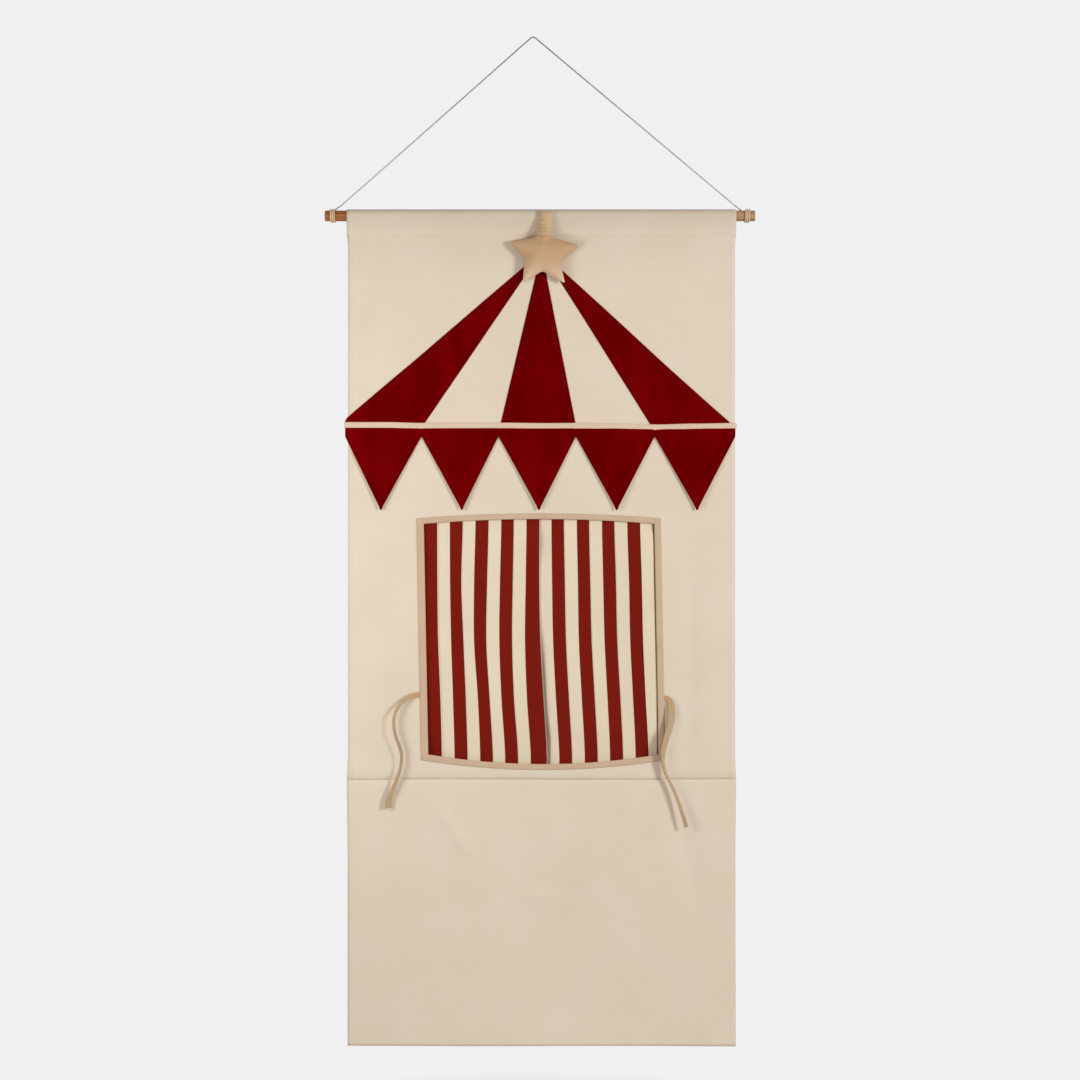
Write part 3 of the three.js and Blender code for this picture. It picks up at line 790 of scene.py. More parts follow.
class Route:
    """A smooth curve through given points, with a side direction carried along it."""

    def __init__(self, points: Sequence[Sequence[float]], pitch: float, first_side: Sequence[float]) -> None:
        """Works the curve out.

        Args:
            points: The points that it passes.
            pitch: The longest step between two of its own points.
            first_side: Where its side direction looks at the start.
        """
        self.points = self._curve([Vector(point) for point in points], pitch)
        self.distances = [0.0]
        for before, after in zip(self.points, self.points[1:]):
            self.distances.append(self.distances[-1] + (after - before).length)
        self.length = self.distances[-1]
        self.sides: list[Vector] = []
        self.overs: list[Vector] = []
        side = Vector(first_side)
        last = len(self.points) - 1
        for index in range(last + 1):
            ahead = (self.points[min(last, index + 1)] - self.points[max(0, index - 1)]).normalized()
            side = (side - ahead * side.dot(ahead)).normalized()
            self.sides.append(side)
            self.overs.append(ahead.cross(side))

    @staticmethod
    def _curve(points: Sequence[Vector], pitch: float) -> list[Vector]:
        """The curve's own points, the given ones among them.

        Args:
            points: The given points.
            pitch: The curve's longest step.

        Returns:
            The points.
        """
        spans = [(after - before).length for before, after in zip(points, points[1:])]
        slopes = [(points[1] - points[0]) / spans[0]]
        for index in range(1, len(points) - 1):
            before, after = spans[index - 1], spans[index]
            arrive = (points[index] - points[index - 1]) / before
            leave = (points[index + 1] - points[index]) / after
            slopes.append((arrive * after + leave * before) / (before + after))
        slopes.append((points[-1] - points[-2]) / spans[-1])
        curve = [points[0].copy()]
        for index, span in enumerate(spans):
            parts = max(1, ceil(span / pitch))
            for part in range(1, parts + 1):
                t = part / parts
                leaving = slopes[index] * span * (t**3 - 2 * t**2 + t)
                arriving = slopes[index + 1] * span * (t**3 - t**2)
                near = points[index] * (2 * t**3 - 3 * t**2 + 1) + leaving
                curve.append(near + points[index + 1] * (3 * t**2 - 2 * t**3) + arriving)
        return curve

    def sweep(self, name: str, section: ClothAt, sides: int, girth: float, material: Finish) -> Piece:
        """A closed piece of a changing section along the curve.

        Args:
            name: The piece's name.
            section: The section's point, towards the side direction and across it, at an angle round the
                section and a distance along the curve.
            sides: How many points the section has.
            girth: The way round the section, for the piece's map.
            material: The finish.

        Returns:
            The object.
        """

        def place(turn: float, row: float) -> Vector:
            """The point of the section at a turn and a row."""
            out, over = section(turn * FULL_TURN, self.distances[int(row)])
            return self.points[int(row)] + self.sides[int(row)] * out + self.overs[int(row)] * over

        def cloth_at(turn: float, row: float) -> Span:
            """The place on the piece's map."""
            return turn * girth, self.distances[int(row)]

        rows = [float(index) for index in range(len(self.points))]
        draft = Sheet(steps(0, 1, sides), rows, place, cloth_at).mesh()
        bmesh.ops.remove_doubles(draft, verts=draft.verts, dist=1e-6)
        bmesh.ops.holes_fill(draft, edges=draft.edges, sides=sides)
        bmesh.ops.recalc_face_normals(draft, faces=draft.faces)
        return new_piece(name, draft, material)


@dataclass
class Topstitch:
    """Rows of sewing thread: each stitch is a small bead that lies on the cloth."""

    name: str
    stitch: float = 0.0030
    space: float = 0.0011
    radius: float = 0.00042
    flatten_share: float = 0.6
    draft: bmesh.types.BMesh = field(default_factory=bmesh.new)

    def sew(self, path: Sequence[Vector], outward: Vector) -> None:
        """Sews one row.

        Args:
            path: Points on the cloth's face, close together.
            outward: Where that face looks.
        """
        reach, travelled = 0.0, 0.0
        for before, after in zip(path, path[1:]):
            step = after - before
            ahead = step.normalized()
            while reach <= travelled + step.length:
                self._bead(before + ahead * (reach - travelled), ahead, outward)
                reach += self.stitch + self.space
            travelled += step.length

    def _bead(self, middle: Vector, ahead: Vector, outward: Vector) -> None:
        """Lays one stitch.

        Args:
            middle: The stitch's middle.
            ahead: The row's direction.
            outward: Where the cloth's face looks.
        """
        over = ahead.cross(outward).normalized()
        out = over.cross(ahead)
        size = (self.stitch / 2, self.radius, self.radius * self.flatten_share)
        turned = Matrix((ahead, over, out)).transposed().to_4x4()
        lie = Matrix.Translation(middle) @ turned @ Matrix.Diagonal((*size, 1.0))
        bmesh.ops.create_icosphere(self.draft, subdivisions=1, radius=1.0, matrix=lie)

    def finish(self, material: Finish, body: str, slot: Slot) -> Piece:
        """Ties the thread off as one piece.

        Args:
            material: The thread's finish.
            body: The body that the cloth rides on.
            slot: The cloth's slot, which is not used.

        Returns:
            The object.
        """
        layer = self.draft.loops.layers.uv.new(CLOTH_MAP)
        for face in self.draft.faces:
            for loop in face.loops:
                loop[layer].uv = (loop.vert.co.y + loop.vert.co.z, loop.vert.co.x - loop.vert.co.z)
        return attach(new_piece(self.name, self.draft, material), body)


# The banner's plan and relief


@dataclass(frozen=True)
class Crease:
    """A soft ridge of the cloth along a line, or a valley where its lift is negative."""

    start: Span
    end: Span
    lift: float
    spread: float
    sharpness: float = 1.0

    def lift_at(self, x: float, z: float) -> float:
        """How far the crease lifts the cloth towards the viewer at a place.

        Args:
            x: How far across the banner.
            z: The height on the banner.

        Returns:
            The lift.
        """
        line = Vector(self.end) - Vector(self.start)
        offset = Vector((x, z)) - Vector(self.start)
        share = offset.dot(line) / line.length_squared
        across = (offset.x * line.y - offset.y * line.x) / line.length
        fade = ramp(share, -0.15, 0.25) * ramp(share, 1.15, 0.7)
        near = self.sharpness if across > 0 else 1.0
        return self.lift * fade * bump(across * near, self.spread)


@dataclass(frozen=True)
class Banner:
    """The canvas as hung: its place, its sizes, and the relief that everything sewn to it shares."""

    middle_x: float
    axis_z: float
    width: float = 0.724
    seam_drop: float = 1.0477
    hem_drop: float = 1.5444
    stitch_drop: float = 0.0368
    canvas: float = 0.0012
    hem_wave: float = 0.003
    hem_waves: float = 1.5
    broad_swell: float = 0.0030
    fine_swell: float = 0.0009
    upper_calm: float = 0.35
    calm_ends: Span = (-0.45, -1.15)
    sleeve_fade: Span = (-0.012, -0.09)
    creases: tuple[Crease, ...] = (
        Crease(mm(198, -1050), mm(48, -1284), 0.0072, 0.016, 0.5),
        Crease(mm(40, -1268), mm(-40, -1262), 0.0016, 0.010),
        Crease(mm(-208, -1085), mm(-128, -1190), 0.0028, 0.014),
        Crease(mm(277, -660), mm(272, -1036), -0.0026, 0.015),
        Crease(mm(318, -640), mm(312, -1020), 0.0012, 0.020),
        Crease(mm(-314, -590), mm(-309, -960), -0.0012, 0.020),
        Crease(mm(-268, -700), mm(-272, -1010), 0.0010, 0.016),
        Crease(mm(250, -1075), mm(292, -1300), -0.003, 0.022),
        Crease(mm(-330, -60), mm(-120, -74), 0.0009, 0.014),
        Crease(mm(330, -58), mm(130, -76), 0.0009, 0.014),
    )

    def relief(self, x: float, z: float) -> float:
        """How far the cloth stands behind its flat plane at a place; negative is towards the viewer.

        Args:
            x: How far across the banner.
            z: The height on the banner.

        Returns:
            The distance.
        """
        lift = sum(crease.lift_at(x, z) for crease in self.creases)
        calm = blend_between(self.upper_calm, 1.0, ramp(z, *self.calm_ends))
        broad = rough(x * 3.1, 4.7, z * 2.3) * self.broad_swell * calm
        fine = rough(x * 11.0, 1.3, z * 6.0) * self.fine_swell * calm
        wave = 0.0
        if z < -self.seam_drop:
            fall = (-z - self.seam_drop) / (self.hem_drop - self.seam_drop)
            wave = self.hem_wave * fall * sin(FULL_TURN * self.hem_waves * x / self.width)
        away = ramp(z, *self.sleeve_fade)
        return (broad + fine - lift) * away + wave

    def at(self, x: float, y: float, z: float) -> Vector:
        """The point at a place on the banner and a distance behind its relief."""
        return Vector((self.middle_x + x, y + self.relief(x, z), self.axis_z + z))

    def bare(self, x: float, y: float, z: float) -> Vector:
        """The point at a place on the banner, without its relief."""
        return Vector((self.middle_x + x, y, self.axis_z + z))

    def line(self, start: Span, end: Span, y: float) -> list[Vector]:
        """A straight line on the cloth's face, as points 6 mm apart that follow its relief.

        Args:
            start: Its first place on the banner.
            end: Its last place.
            y: How far behind the relief.

        Returns:
            The points.
        """
        way = Vector(end) - Vector(start)
        count = max(2, round(way.length / 0.006))
        places = [Vector(start) + way * share for share in steps(0, 1, count)]
        return [self.at(place.x, y, place.y) for place in places]


@dataclass(frozen=True)
class Window:
    """The stage window as it was sewn: its corners and bowed edges, over a binding of uneven width."""

    width: float = 0.453
    height: float = 0.449
    drop: float = 0.563
    top_shift: float = -0.0056
    bottom_shift: float = 0.0027
    top_bow: float = 0.009
    bottom_bow: float = 0.018
    left_binding: float = 0.0125
    right_binding: float = 0.0105
    long_binding: float = 0.0095
    cut_margin: float = 0.0013

    def binding(self, side: Side) -> float:
        """The binding's width on one side."""
        return {Side.LEFT: self.left_binding, Side.RIGHT: self.right_binding}.get(side, self.long_binding)

    def cut(self, side: Side) -> float:
        """How far in from the binding's outer edge the canvas ends on one side."""
        return self.binding(side) - self.cut_margin

    def edge(self, side: Side, share: float, inset: float) -> Span:
        """A point of one side, on a line that meets those of the other sides at the binding's mitres.

        Args:
            side: The side.
            share: How far along it, from its left or upper end.
            inset: How far in from the binding's outer edge.

        Returns:
            The place on the banner.
        """
        across = inset / self.binding(side)
        left = across * self.left_binding - self.width / 2
        right = self.width / 2 - across * self.right_binding
        top = -self.drop - across * self.long_binding
        bottom = -self.drop - self.height + across * self.long_binding
        bow = 4 * share * (1 - share)
        if side is Side.TOP:
            return self.top_shift + blend_between(left, right, share), top + self.top_bow * bow
        if side is Side.BOTTOM:
            return self.bottom_shift + blend_between(left, right, share), bottom - self.bottom_bow * bow
        shift = blend_between(self.top_shift, self.bottom_shift, share)
        return shift + (left if side is Side.LEFT else right), blend_between(top, bottom, share)


@dataclass
class Canvas:
    """The two canvas panels, the dowel's sleeve, the hems and the seam that joins the panels."""

    banner: Banner
    window: Window
    finishes: Finishes
    grid: float = 0.0062
    sleeve_radius: float = 0.0115
    allowance: float = 0.004
    hem: float = 0.012
    seam_gap: float = 0.0009
    seam_sag: float = 0.0042
    sag_above: float = 0.0052
    sag_below: float = 0.0011
    seam_wander: float = 0.0016
    wander_reach: float = 0.03
    seam_allowance: float = 0.014
    sleeve_pull: float = 0.0006
    pinch: float = 0.0005
    drawn_in: float = 0.0021
    let_out: float = 0.0013
    flare: float = 0.00044
    turned_edge: float = 0.0006

    def build(self) -> None:
        """Makes the panels, their hems and their seam."""
        upper = self._upper()
        lower = self._lower()
        hems = self._hems()
        self._upper_area()

    @property
    def _tangent(self) -> float:
        """The angle at which the sleeve's layers leave the dowel, from upright."""
        return asin(self.sleeve_radius / self.banner.stitch_drop)

    @property
    def _straight(self) -> float:
        """The length of a sleeve layer between the stitching and the dowel."""
        return sqrt(self.banner.stitch_drop**2 - self.sleeve_radius**2)

    @property
    def _round(self) -> float:
        """The length of cloth that lies on the dowel."""
        return self.sleeve_radius * (pi + 2 * self._tangent)

    def _upper_cut(self) -> Span:
        """The width and length that the upper panel is cut to."""
        front = self.banner.seam_drop - self.banner.stitch_drop
        return self.banner.width, front + 2 * self._straight + self._round + self.allowance

    def _upper_area(self) -> float:
        """The upper panel's area, less its window.

        Returns:
            The area.
        """
        width, length = self._upper_cut()
        left, right = self._window_sides()
        bottom, top = self._window_ends()
        cut = (right - left) * (top - bottom)
        bows = (self.window.top_bow + self.window.bottom_bow) * self.window.width * 2 / 3
        return width * length - cut - bows

    def _sleeve_point(self, x: float, run: float) -> Vector:
        """A point of the sleeve, at a length of cloth above the stitching.

        Args:
            x: How far across the banner.
            run: The length of cloth above the stitching.

        Returns:
            The point.
        """
        drop, straight, bend = self.banner.stitch_drop, self._straight, self._round
        pull = self.sleeve_pull * rough(x * 70, 2.0, 0.0) * ramp(run, 0, 0.006) * ramp(run, 0.034, 0.012)
        layers = self.banner.canvas * 1.15
        lean = self._tangent
        if run < straight:
            share = run / straight
            y = self.banner.relief(x, -drop) * (1 - share) - self.sleeve_radius * cos(lean) * share + pull
            return self.banner.bare(x, y, -drop + share * straight * cos(lean))
        if run < straight + bend:
            angle = pi + lean - (run - straight) / self.sleeve_radius
            y, z = self.sleeve_radius * cos(angle), self.sleeve_radius * sin(angle)
            return self.banner.bare(x, y, z)
        left = run - straight - bend
        share = min(1.0, left / straight)
        y = blend_between(self.sleeve_radius * cos(lean), layers, share)
        z = blend_between(-self.sleeve_radius * sin(lean), -drop, share) - max(0.0, left - straight)
        return self.banner.bare(x, y + self.banner.relief(x, -drop) * share, z)

    def _warp(self, x: float, z: float) -> Span:
        """Moves the grid's straight lines on to the window's leaning and bowed edges.

        Args:
            x: The column.
            z: The row.

        Returns:
            The place on the banner.
        """
        window, half = self.window, self.banner.width / 2
        left, right = self._window_sides()
        bottom, top = self._window_ends()
        share = min(1.0, max(0.0, (top - z) / (top - bottom)))
        move_left = window.edge(Side.LEFT, share, window.cut(Side.LEFT))[0] - left
        move_right = window.edge(Side.RIGHT, share, window.cut(Side.RIGHT))[0] - right
        if x < left:
            move = move_left * (x + half) / (left + half)
        elif x > right:
            move = move_right * (half - x) / (half - right)
        else:
            move = blend_between(move_left, move_right, (x - left) / (right - left))
        calm = ramp(z, top + 0.15, top) * ramp(z, -self.banner.seam_drop, bottom)
        bow, across = 0.0, (x - left) / (right - left)
        if 0 < across < 1:
            if z >= top:
                bow = window.top_bow * max(0.0, 1 - (z - top) / 0.09)
            elif z > bottom:
                bow = blend_between(window.top_bow, -window.bottom_bow, share)
            else:
                bow = -window.bottom_bow * (z + self.banner.seam_drop) / (bottom + self.banner.seam_drop)
        return x + move * calm, z + bow * 4 * across * (1 - across)

    def _sag(self, z: float) -> float:
        """How far the cloth sinks towards the seam's slit.

        Args:
            z: The height on the banner.

        Returns:
            The distance.
        """
        above = z + self.banner.seam_drop
        if above >= 0:
            return self.seam_sag * exp(-above / self.sag_above)
        return self.seam_sag * exp((above + self.seam_gap) / self.sag_below)

    def _wander(self, x: float, z: float) -> float:
        """How far the seam runs above its level, fading out away from it."""
        near = exp(-abs(z + self.banner.seam_drop) / self.wander_reach)
        return near * self.seam_wander * rough(x * 7.5, 6.1, 0.0)

    def _drawn(self, x: float, z: float) -> float:
        """Draws the panels' side edges in under the sleeve and lets them out below the seam.

        Args:
            x: How far across the banner.
            z: The height on the banner.

        Returns:
            The place across, drawn in or let out.
        """
        seam = self.banner.seam_drop
        pull = self.drawn_in * ramp(z, -0.02, -0.07) * ramp(z, -seam, -seam + 0.05)
        pull -= self.let_out * ramp(z, -seam, -seam - 0.15)
        return x - copysign(pull * ramp(abs(x), 0.235, self.banner.width / 2), x)

    def _window_sides(self) -> Span:
        """The grid's columns at the window's left and right."""
        half = self.window.width / 2
        return self.window.cut(Side.LEFT) - half, half - self.window.cut(Side.RIGHT)

    def _window_ends(self) -> Span:
        """The grid's rows at the window's foot and head."""
        foot = self.window.edge(Side.BOTTOM, 0.0, self.window.cut(Side.BOTTOM))[1]
        return foot, self.window.edge(Side.TOP, 0.0, self.window.cut(Side.TOP))[1]

    def _upper(self) -> Piece:
        """The upper panel with its window and sleeve.

        Returns:
            The object.
        """
        half, seam = self.banner.width / 2, self.banner.seam_drop
        left, right = self._window_sides()
        bottom, top = self._window_ends()
        stitch = -self.banner.stitch_drop

        def spread(start: float, end: float) -> list[float]:
            """Even steps after the first, about as far apart as the grid asks."""
            return steps(start, end, max(1, round((end - start) / self.grid)))[1:]

        columns = [-half, *spread(-half, left), *spread(left, right), *spread(right, half)]
        seam_rows = [-seam + size for size in mm(0, 0.6, 1.2, 2, 3.2, 5, 7.5)]
        rows = [*seam_rows, *spread(-seam + 0.0075, bottom), *spread(bottom, top), *spread(top, stitch)]
        sleeve_end = self._upper_cut()[1] - (seam - self.banner.stitch_drop)
        rows += [stitch + run for run in steps(0, sleeve_end, 60)[1:]]

        def place(x: float, z: float) -> Vector:
            """The point of the panel or of its sleeve.

            Args:
                x: The column.
                z: The row.

            Returns:
                The point.
            """
            if z > stitch + 1e-9:
                return self._sleeve_point(x, z - stitch)
            moved_x, moved_z = self._warp(x, z)
            pinch = self.pinch * bump(z - stitch, 0.002)
            return self.banner.at(self._drawn(moved_x, z), self._sag(z) + pinch, moved_z + self._wander(x, z))

        def hole(x: float, z: float) -> bool:
            """Whether the window is there."""
            return left < x < right and bottom < z < top

        sheet = Sheet(columns, rows, place, hole=hole)
        made = sheet.piece("upper_canvas", self.finishes.canvas, self.banner.canvas)
        return attach(made, "banner", ["upper_panel"])

    def _lower(self) -> Piece:
        """The lower panel, down to its hem.

        Returns:
            The object.
        """
        half, seam, foot = self.banner.width / 2, self.banner.seam_drop, self.banner.hem_drop
        columns = steps(-half, half, round(self.banner.width / self.grid))
        rows = steps(-foot, -seam - 0.0034, round((foot - seam) / self.grid))
        rows += [-seam - self.seam_gap - size for size in mm(1.5, 0.8, 0.3, 0)]

        def place(x: float, z: float) -> Vector:
            """The point of the panel."""
            flare = self.flare * sin(x * 23) * ramp(z, -seam - 0.2, -foot)
            return self.banner.at(self._drawn(x, z) + flare, self._sag(z), z + self._wander(x, z))

        made = Sheet(columns, rows, place).piece("lower_canvas", self.finishes.canvas, self.banner.canvas)
        return attach(made, "banner", ["lower_panel"])

    def _hems(self) -> list[Piece]:
        """The turned hems and the seam allowance, which show from behind.

        Returns:
            The strips.
        """
        half, seam, foot = self.banner.width / 2, self.banner.seam_drop, self.banner.hem_drop
        edge, behind = self.turned_edge, self.banner.canvas * 1.05
        head = self.banner.stitch_drop + 0.006
        strips = {
            "left_hem": (-half + edge, -half + self.hem, -foot + edge, -head),
            "right_hem": (half - self.hem, half - edge, -foot + edge, -head),
            "bottom_hem": (-half + self.hem, half - self.hem, -foot + edge, -foot + 1.6 * self.hem),
            "seam_allowance": (-half + self.hem, half - self.hem, -seam - 0.001, -seam + self.seam_allowance),
        }
        made = []
        for name, (left, right, low, high) in strips.items():
            columns = edged_steps(left, right, self.grid, 0.0016)
            rows = edged_steps(low, high, self.grid, 0.0016)

            def place(x: float, z: float, box: tuple = (left, right, low, high)) -> Vector:
                """The point of the strip, whose edges are turned under."""
                turned = self.pinch * exp(-min(x - box[0], box[1] - x, z - box[2], box[3] - z) / edge)
                return self.banner.at(self._drawn(x, z), behind + self._sag(max(z, -seam)) - turned, z)

            strip = Sheet(columns, rows, place).piece(name, self.finishes.canvas, 0.0009)
            made.append(attach(strip, "banner"))
        return made

    def sew(self, thread: Topstitch) -> None:
        """Sews the sleeve's, the hems' and the seam's stitching.

        Args:
            thread: The thread to sew with.
        """
        half, foot, seam = self.banner.width / 2, self.banner.hem_drop, self.banner.seam_drop
        inner, low = half - self.hem + 0.002, -foot + 1.6 * self.hem - 0.002
        stitch = -self.banner.stitch_drop
        for face, depth in ((Face.FRONT, self.banner.canvas / 2), (Face.BACK, self.banner.canvas * 1.6)):
            y, outward = face.value * depth, Vector((0, face.value, 0))
            thread.sew(self.banner.line((-half + 0.001, stitch), (half - 0.001, stitch), y), outward)
            thread.sew(self.banner.line((-inner, low), (inner, low), y), outward)
            for side in (-inner, inner):
                thread.sew(self.banner.line((side, low), (side, stitch - 0.008), y), outward)
        behind = self.banner.canvas * 1.6
        for up in (0.004, 0.010):
            thread.sew(self.banner.line((-inner, up - seam), (inner, up - seam), behind), Vector((0, 1, 0)))


@dataclass
class Roof:
    """The tent roof: velvet gores, the tape along the eaves, and the pennants that hang from it."""

    banner: Banner
    finishes: Finishes
    width: float = 0.726
    shift: float = -0.0023
    gore_shares: tuple[float, ...] = (0, 0.203, 0.399, 0.59, 0.783, 0.988)
    pennant_shares: tuple[float, ...] = (0, 0.196, 0.393, 0.591, 0.793, 1)
    tip_shares: tuple[float, ...] = (0.462, 0.522, 0.531, 0.516, 0.52)
    apex_drop: float = 0.0672
    start: float = 0.024
    eave_drop: float = 0.3835
    end_overrun: float = 0.0065
    tape_height: float = 0.011
    tape_sags: tuple[float, ...] = mm(0, 0, -1.5, -1.4, -1.2, -2, -1.8, -3.1, -4.4, -3, -1.6)
    overhang: float = 0.002
    velvet: float = 0.0012
    stand: float = 0.0019
    tape_front: float = 0.0041
    pennant_height: float = 0.1525
    pennant_space: float = 0.0006
    straight: float = 0.016
    tip_round: float = 0.007
    tuck: float = 0.005
    tip_lean: float = 0.0046
    lining_edge: float = 0.0007
    turned_in: float = 0.0009
    plump: float = 0.0007
    edge_roll: float = 0.0006
    tip_sway: float = 0.0011
    lining_front: float = -0.0021
    velvet_front: float = -0.0031

    def build(self) -> None:
        """Makes the gores, the tape and the pennants."""
        for name, index in (("roof_left", 0), ("roof_centre", 2), ("roof_right", 4)):
            self._gore(name, index)
        self._tape()
        for index in range(len(self.tip_shares)):
            self._pennant(index)

    def _eave(self, share: float) -> float:
        """The place on the eaves at a share of the roof's width."""
        return self.shift + self.width * (share - 0.5)

    def _sag(self, x: float) -> float:
        """How far the tape hangs above its straight line at a place along it."""
        place = min(max((x - self._eave(0.0)) / self.width, 0.0), 0.999) * (len(self.tape_sags) - 1)
        return eased(self.tape_sags, place)

    def _gore(self, name: str, index: int) -> None:
        """One gore, sewn down with its edges turned under.

        Args:
            name: The piece's name.
            index: Which of the roof's five parts it is.
        """
        left, right = self._eave(self.gore_shares[index]), self._eave(self.gore_shares[index + 1])
        clip = self._eave(0.0)
        if index == 0:
            left -= self.end_overrun
        head, foot = -self.apex_drop - self.start, -self.eave_drop - 0.001
        width = right - left
        columns = edged_steps(0, width, 0.005, 0.004)
        rows = edged_steps(foot, head, 0.006, 0.003)
        reach = -self.apex_drop - foot

        def place_x(column: float, z: float) -> float:
            """The place across, between the gore's two edges."""
            share = (-self.apex_drop - z) / reach
            return blend_between(max(left * share, clip), right * share, column / width)

        def place(column: float, z: float) -> Vector:
            """The point of the gore, whose edges are turned under.

            Args:
                column: The column.
                z: The row.

            Returns:
                The point.
            """
            x = place_x(column, z)
            inside = min(column, width - column) * (-self.apex_drop - z) / reach
            turned = min(1.0, exp(-inside / 0.0011) + exp(-max(0.0, z - foot) / 0.0012))
            plump = self.plump * rough(x * 30, index, z * 24)
            hung = z + self._sag(x) * ramp(z, head, foot)
            return self.banner.at(x, -self.stand - plump * (1 - turned) + self.turned_in * turned, hung)

        sheet = Sheet(columns, rows, place, lambda column, z: (place_x(column, z), z))
        made = sheet.piece(f"velvet_{name}", self.finishes.velvet, self.velvet)
        attach(made, "banner", [name])
        length = head - foot
        area = width * (1 + self.start / reach) / 2 * length

    def _tape(self) -> None:
        """The padded tape along the eaves, over the upper edges of the pennants."""
        left, right = self._eave(0.0) - self.overhang, self._eave(1.0) + self.overhang
        top = -self.eave_drop
        columns = edged_steps(left, right, 0.005, 0.003)
        around = 24

        def place(x: float, turn: float) -> Vector:
            """The point of the tape.

            Args:
                x: The column.
                turn: How far round its front, from 0 to 1.

            Returns:
                The point.
            """
            angle = pi * (turn - 0.5)
            z = top - self.tape_height / 2 + self.tape_height / 2 * sin(angle)
            crown = self.tape_front - 0.001
            end = ramp(min(x - left, right - x), -0.001, 0.0022)
            sag = 0.0003 * rough(x * 16, 7.7, 0) + self._sag(x)
            y = -0.001 - crown * max(0.0, cos(angle)) ** 0.45 * (0.35 + 0.65 * end)
            return self.banner.at(x, y, z + sag)

        girth = self.tape_height * 1.4
        sheet = Sheet(columns, steps(0, 1, around), place, lambda x, turn: (x, turn * girth))
        made = sheet.piece("eave_tape_cloth", self.finishes.eave, 0.0008, offset=-1.0)
        attach(made, "banner", ["eave_tape"])
        right - left

    def _width_share(self, below: float) -> float:
        """A pennant's width at a depth below the tape, as a share of its full width.

        Args:
            below: The depth below the tape.

        Returns:
            A share from 0 to 1.
        """
        tip_share = self.tip_round / (self.pennant_height - self.straight)
        taper_end = self.pennant_height - self.tip_round
        if below <= self.straight:
            return 1.0
        if below < taper_end:
            return blend_between(1.0, tip_share, (below - self.straight) / (taper_end - self.straight))
        left = max(0.0, self.pennant_height - below)
        return tip_share * sqrt(left / self.tip_round)

    def _pennant_sheet(self, index: int, lining: bool) -> Piece:
        """The velvet of one pennant, or the lining behind it, which shows as a light line at its edges.

        Args:
            index: Its number, from the left.
            lining: Whether it is the lining.

        Returns:
            The object.
        """
        left = self._eave(self.pennant_shares[index]) + self.pennant_space / 2
        right = self._eave(self.pennant_shares[index + 1]) - self.pennant_space / 2
        middle = blend_between(left, right, self.tip_shares[index])
        top = -self.eave_drop - self.tape_height
        depths = [self.pennant_height * share for share in (1.0, 0.9985, 0.993, 0.983, 0.97, 0.955)]
        depths += steps(self.pennant_height * 0.93, self.straight, 22)
        depths += [*mm(11.5, 7.5, 4.5, 2.5, 1.2, 0, -1.2, -2.5), -self.tuck]
        rows = [top - depth for depth in depths]
        columns = [-1.0, -0.985, -0.95, *steps(-0.9, 0.9, 18), 0.95, 0.985, 1.0]
        turn = 0.6 + 0.4 * sin(index * 2.4)
        grown = self.lining_edge if lining else 0.0

        def place_x(column: float, below: float) -> float:
            """The place across, between the pennant's two edges."""
            side = (right - middle if column > 0 else middle - left) * self._width_share(below)
            return middle + column * (side + grown * ramp(below, self.straight, self.straight + 0.004))

        def place(column: float, z: float) -> Vector:
            """The point of the pennant, whose tip stands off the canvas.

            Args:
                column: The column.
                z: The row.

            Returns:
                The point.
            """
            below = top - z
            share = max(0.0, below / self.pennant_height)
            side = (right - left) / 2 * self._width_share(below)
            rolled = 0.0 if lining else self.edge_roll * exp(-(1 - abs(column)) * side / 0.0011)
            curl = -self.tip_lean * share**1.7 * (1.0 + 0.35 * turn * column)
            swell = -0.0011 * cos(column * 1.3) * share * (1 - share) * 2.6
            body = 0.0006 * rough(column * 1.7 + index * 5, 0.4, z * 21)
            tucked = 0.0016 * ramp(below, 0.0025, -0.002)
            x = place_x(column, below) + self.tip_sway * sin(index * 1.9 + 1) * share**2
            front = self.lining_front if lining else self.velvet_front
            return self.banner.at(x, front + curl + swell + body + rolled + tucked, z)

        name = f"pennant_{index + 1}_lining" if lining else f"velvet_pennant_{index + 1}"
        finish, thickness = (self.finishes.canvas, 0.0005) if lining else (self.finishes.velvet, 0.0013)
        sheet = Sheet(columns, rows, place, lambda column, z: (place_x(column, top - z), z))
        made = sheet.piece(name, finish, thickness)
        start, end = (self.banner.bare(middle, 0, top + height) for height in mm(1, -7))
        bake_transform(made)
        LOG.info("%s bends between the banner and pennant_%d", name, index + 1)
        return made

    def _pennant(self, index: int) -> None:
        """One pennant: lined velvet with a rolled edge, whose tip stands a little off the canvas.

        Args:
            index: Its number, from the left.
        """
        lining = self._pennant_sheet(index, lining=True)
        made = self._pennant_sheet(index, lining=False)
        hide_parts(f"pennant_{index + 1}")


